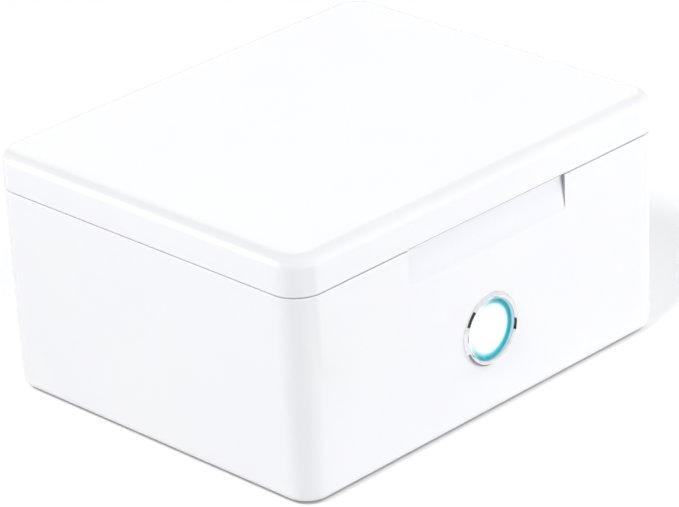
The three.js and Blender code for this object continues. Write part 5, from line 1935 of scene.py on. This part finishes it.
# Soft boxes. Only the rear ones show in the gloss: the others would draw a hard line on the lid's soft edge
lampSizes = {
    "keyLeft": {"place": (-0.75, -0.22, 0.95), "size": 0.2, "power": 5.04, "mirrored": False},
    "boxBackLeft": {"place": (-0.8, 0.6, 0.4), "size": 0.8, "power": 3.93, "mirrored": True},
    "boxBackRight": {"place": (0.7, 0.8, 0.5), "size": 0.8, "power": 2.10, "mirrored": True},
    "boxRight": {"place": (0.8, -0.8, 0.5), "size": 0.8, "power": 1.34, "mirrored": False},
    "boxNear": {"place": (0.5, -0.5, 0.45), "size": 0.5, "power": 1.26, "mirrored": False},
    "boxLowFront": {"place": (0.4, -0.8, 0.15), "size": 0.5, "power": 3.08, "mirrored": False},
}


def buildLamps():
    for name, sizes in lampSizes.items():
        light = bpy.data.lights.new(name, "AREA")
        light.shape = "SQUARE"
        light.size = sizes["size"]
        light.energy = sizes["power"]
        lamp = addObject(name, light)
        lamp.visible_glossy = sizes["mirrored"]
        lamp.location = sizes["place"]
        lamp.rotation_mode = "QUATERNION"
        back = Vector(sizes["place"]) - Vector(studioSizes["aim"])
        lamp.rotation_quaternion = back.to_track_quat("Z", "Y")


# Cards, seen only in reflections; corners in metres. Each black one draws a dark edge on the chrome ring
blackCorners = {
    "upright": ((-0.027, -0.150, 0.088), (-0.045, -0.150, 0.114), (-0.0755, -0.150, 0.081),
                (-0.097, -0.150, 0.041), (-0.068, -0.150, 0.031), (-0.051, -0.150, 0.062)),
    "low": ((-0.012, -0.150, 0), (-0.012, -0.150, 0.007), (-0.046, -0.150, 0.0155), (-0.060, -0.150, 0.018),
            (-0.060, -0.150, 0)),
    "flat": ((-0.007, -0.0925, 0.0002), (-0.0175, -0.0850, 0.0002), (-0.026, -0.100, 0.0002),
             (-0.052, -0.136, 0.0002), (-0.052, -0.1495, 0.0002), (-0.013, -0.1495, 0.0002),
             (-0.013, -0.128, 0.0002), (-0.006, -0.105, 0.0002)),
}
# The grey one is painted shade: a sheet close under the ring that greys the ring's lower outside, where shade
# falls below the ring
shadeCardCorners = {
    "under": ((-0.0100, -0.0545, 0.012), (-0.0108, -0.0520, 0.012), (-0.0040, -0.0493, 0.012),
              (0.0032, -0.0489, 0.012), (0.0032, -0.0500, 0.012), (-0.0020, -0.0516, 0.012)),
}


def buildCard(name, colour, faces):
    material, tree, shader = newMaterial(name)
    shader.inputs["Base Color"].default_value = linear(colour)
    work = bmesh.new()
    for corners in faces.values():
        work.faces.new([work.verts.new(corner) for corner in corners])
    card = addObject(name, asMesh(work))
    card.data.materials.append(material)
    for path in ("camera", "diffuse", "transmission", "volume_scatter", "shadow"):
        setattr(card, "visible_" + path, False)


buildStudio()
buildLamps()
buildCard("blackCard", "0A0A0A", blackCorners)
buildCard("greyCard", "A3A0A2", shadeCardCorners)

print("scene ready")
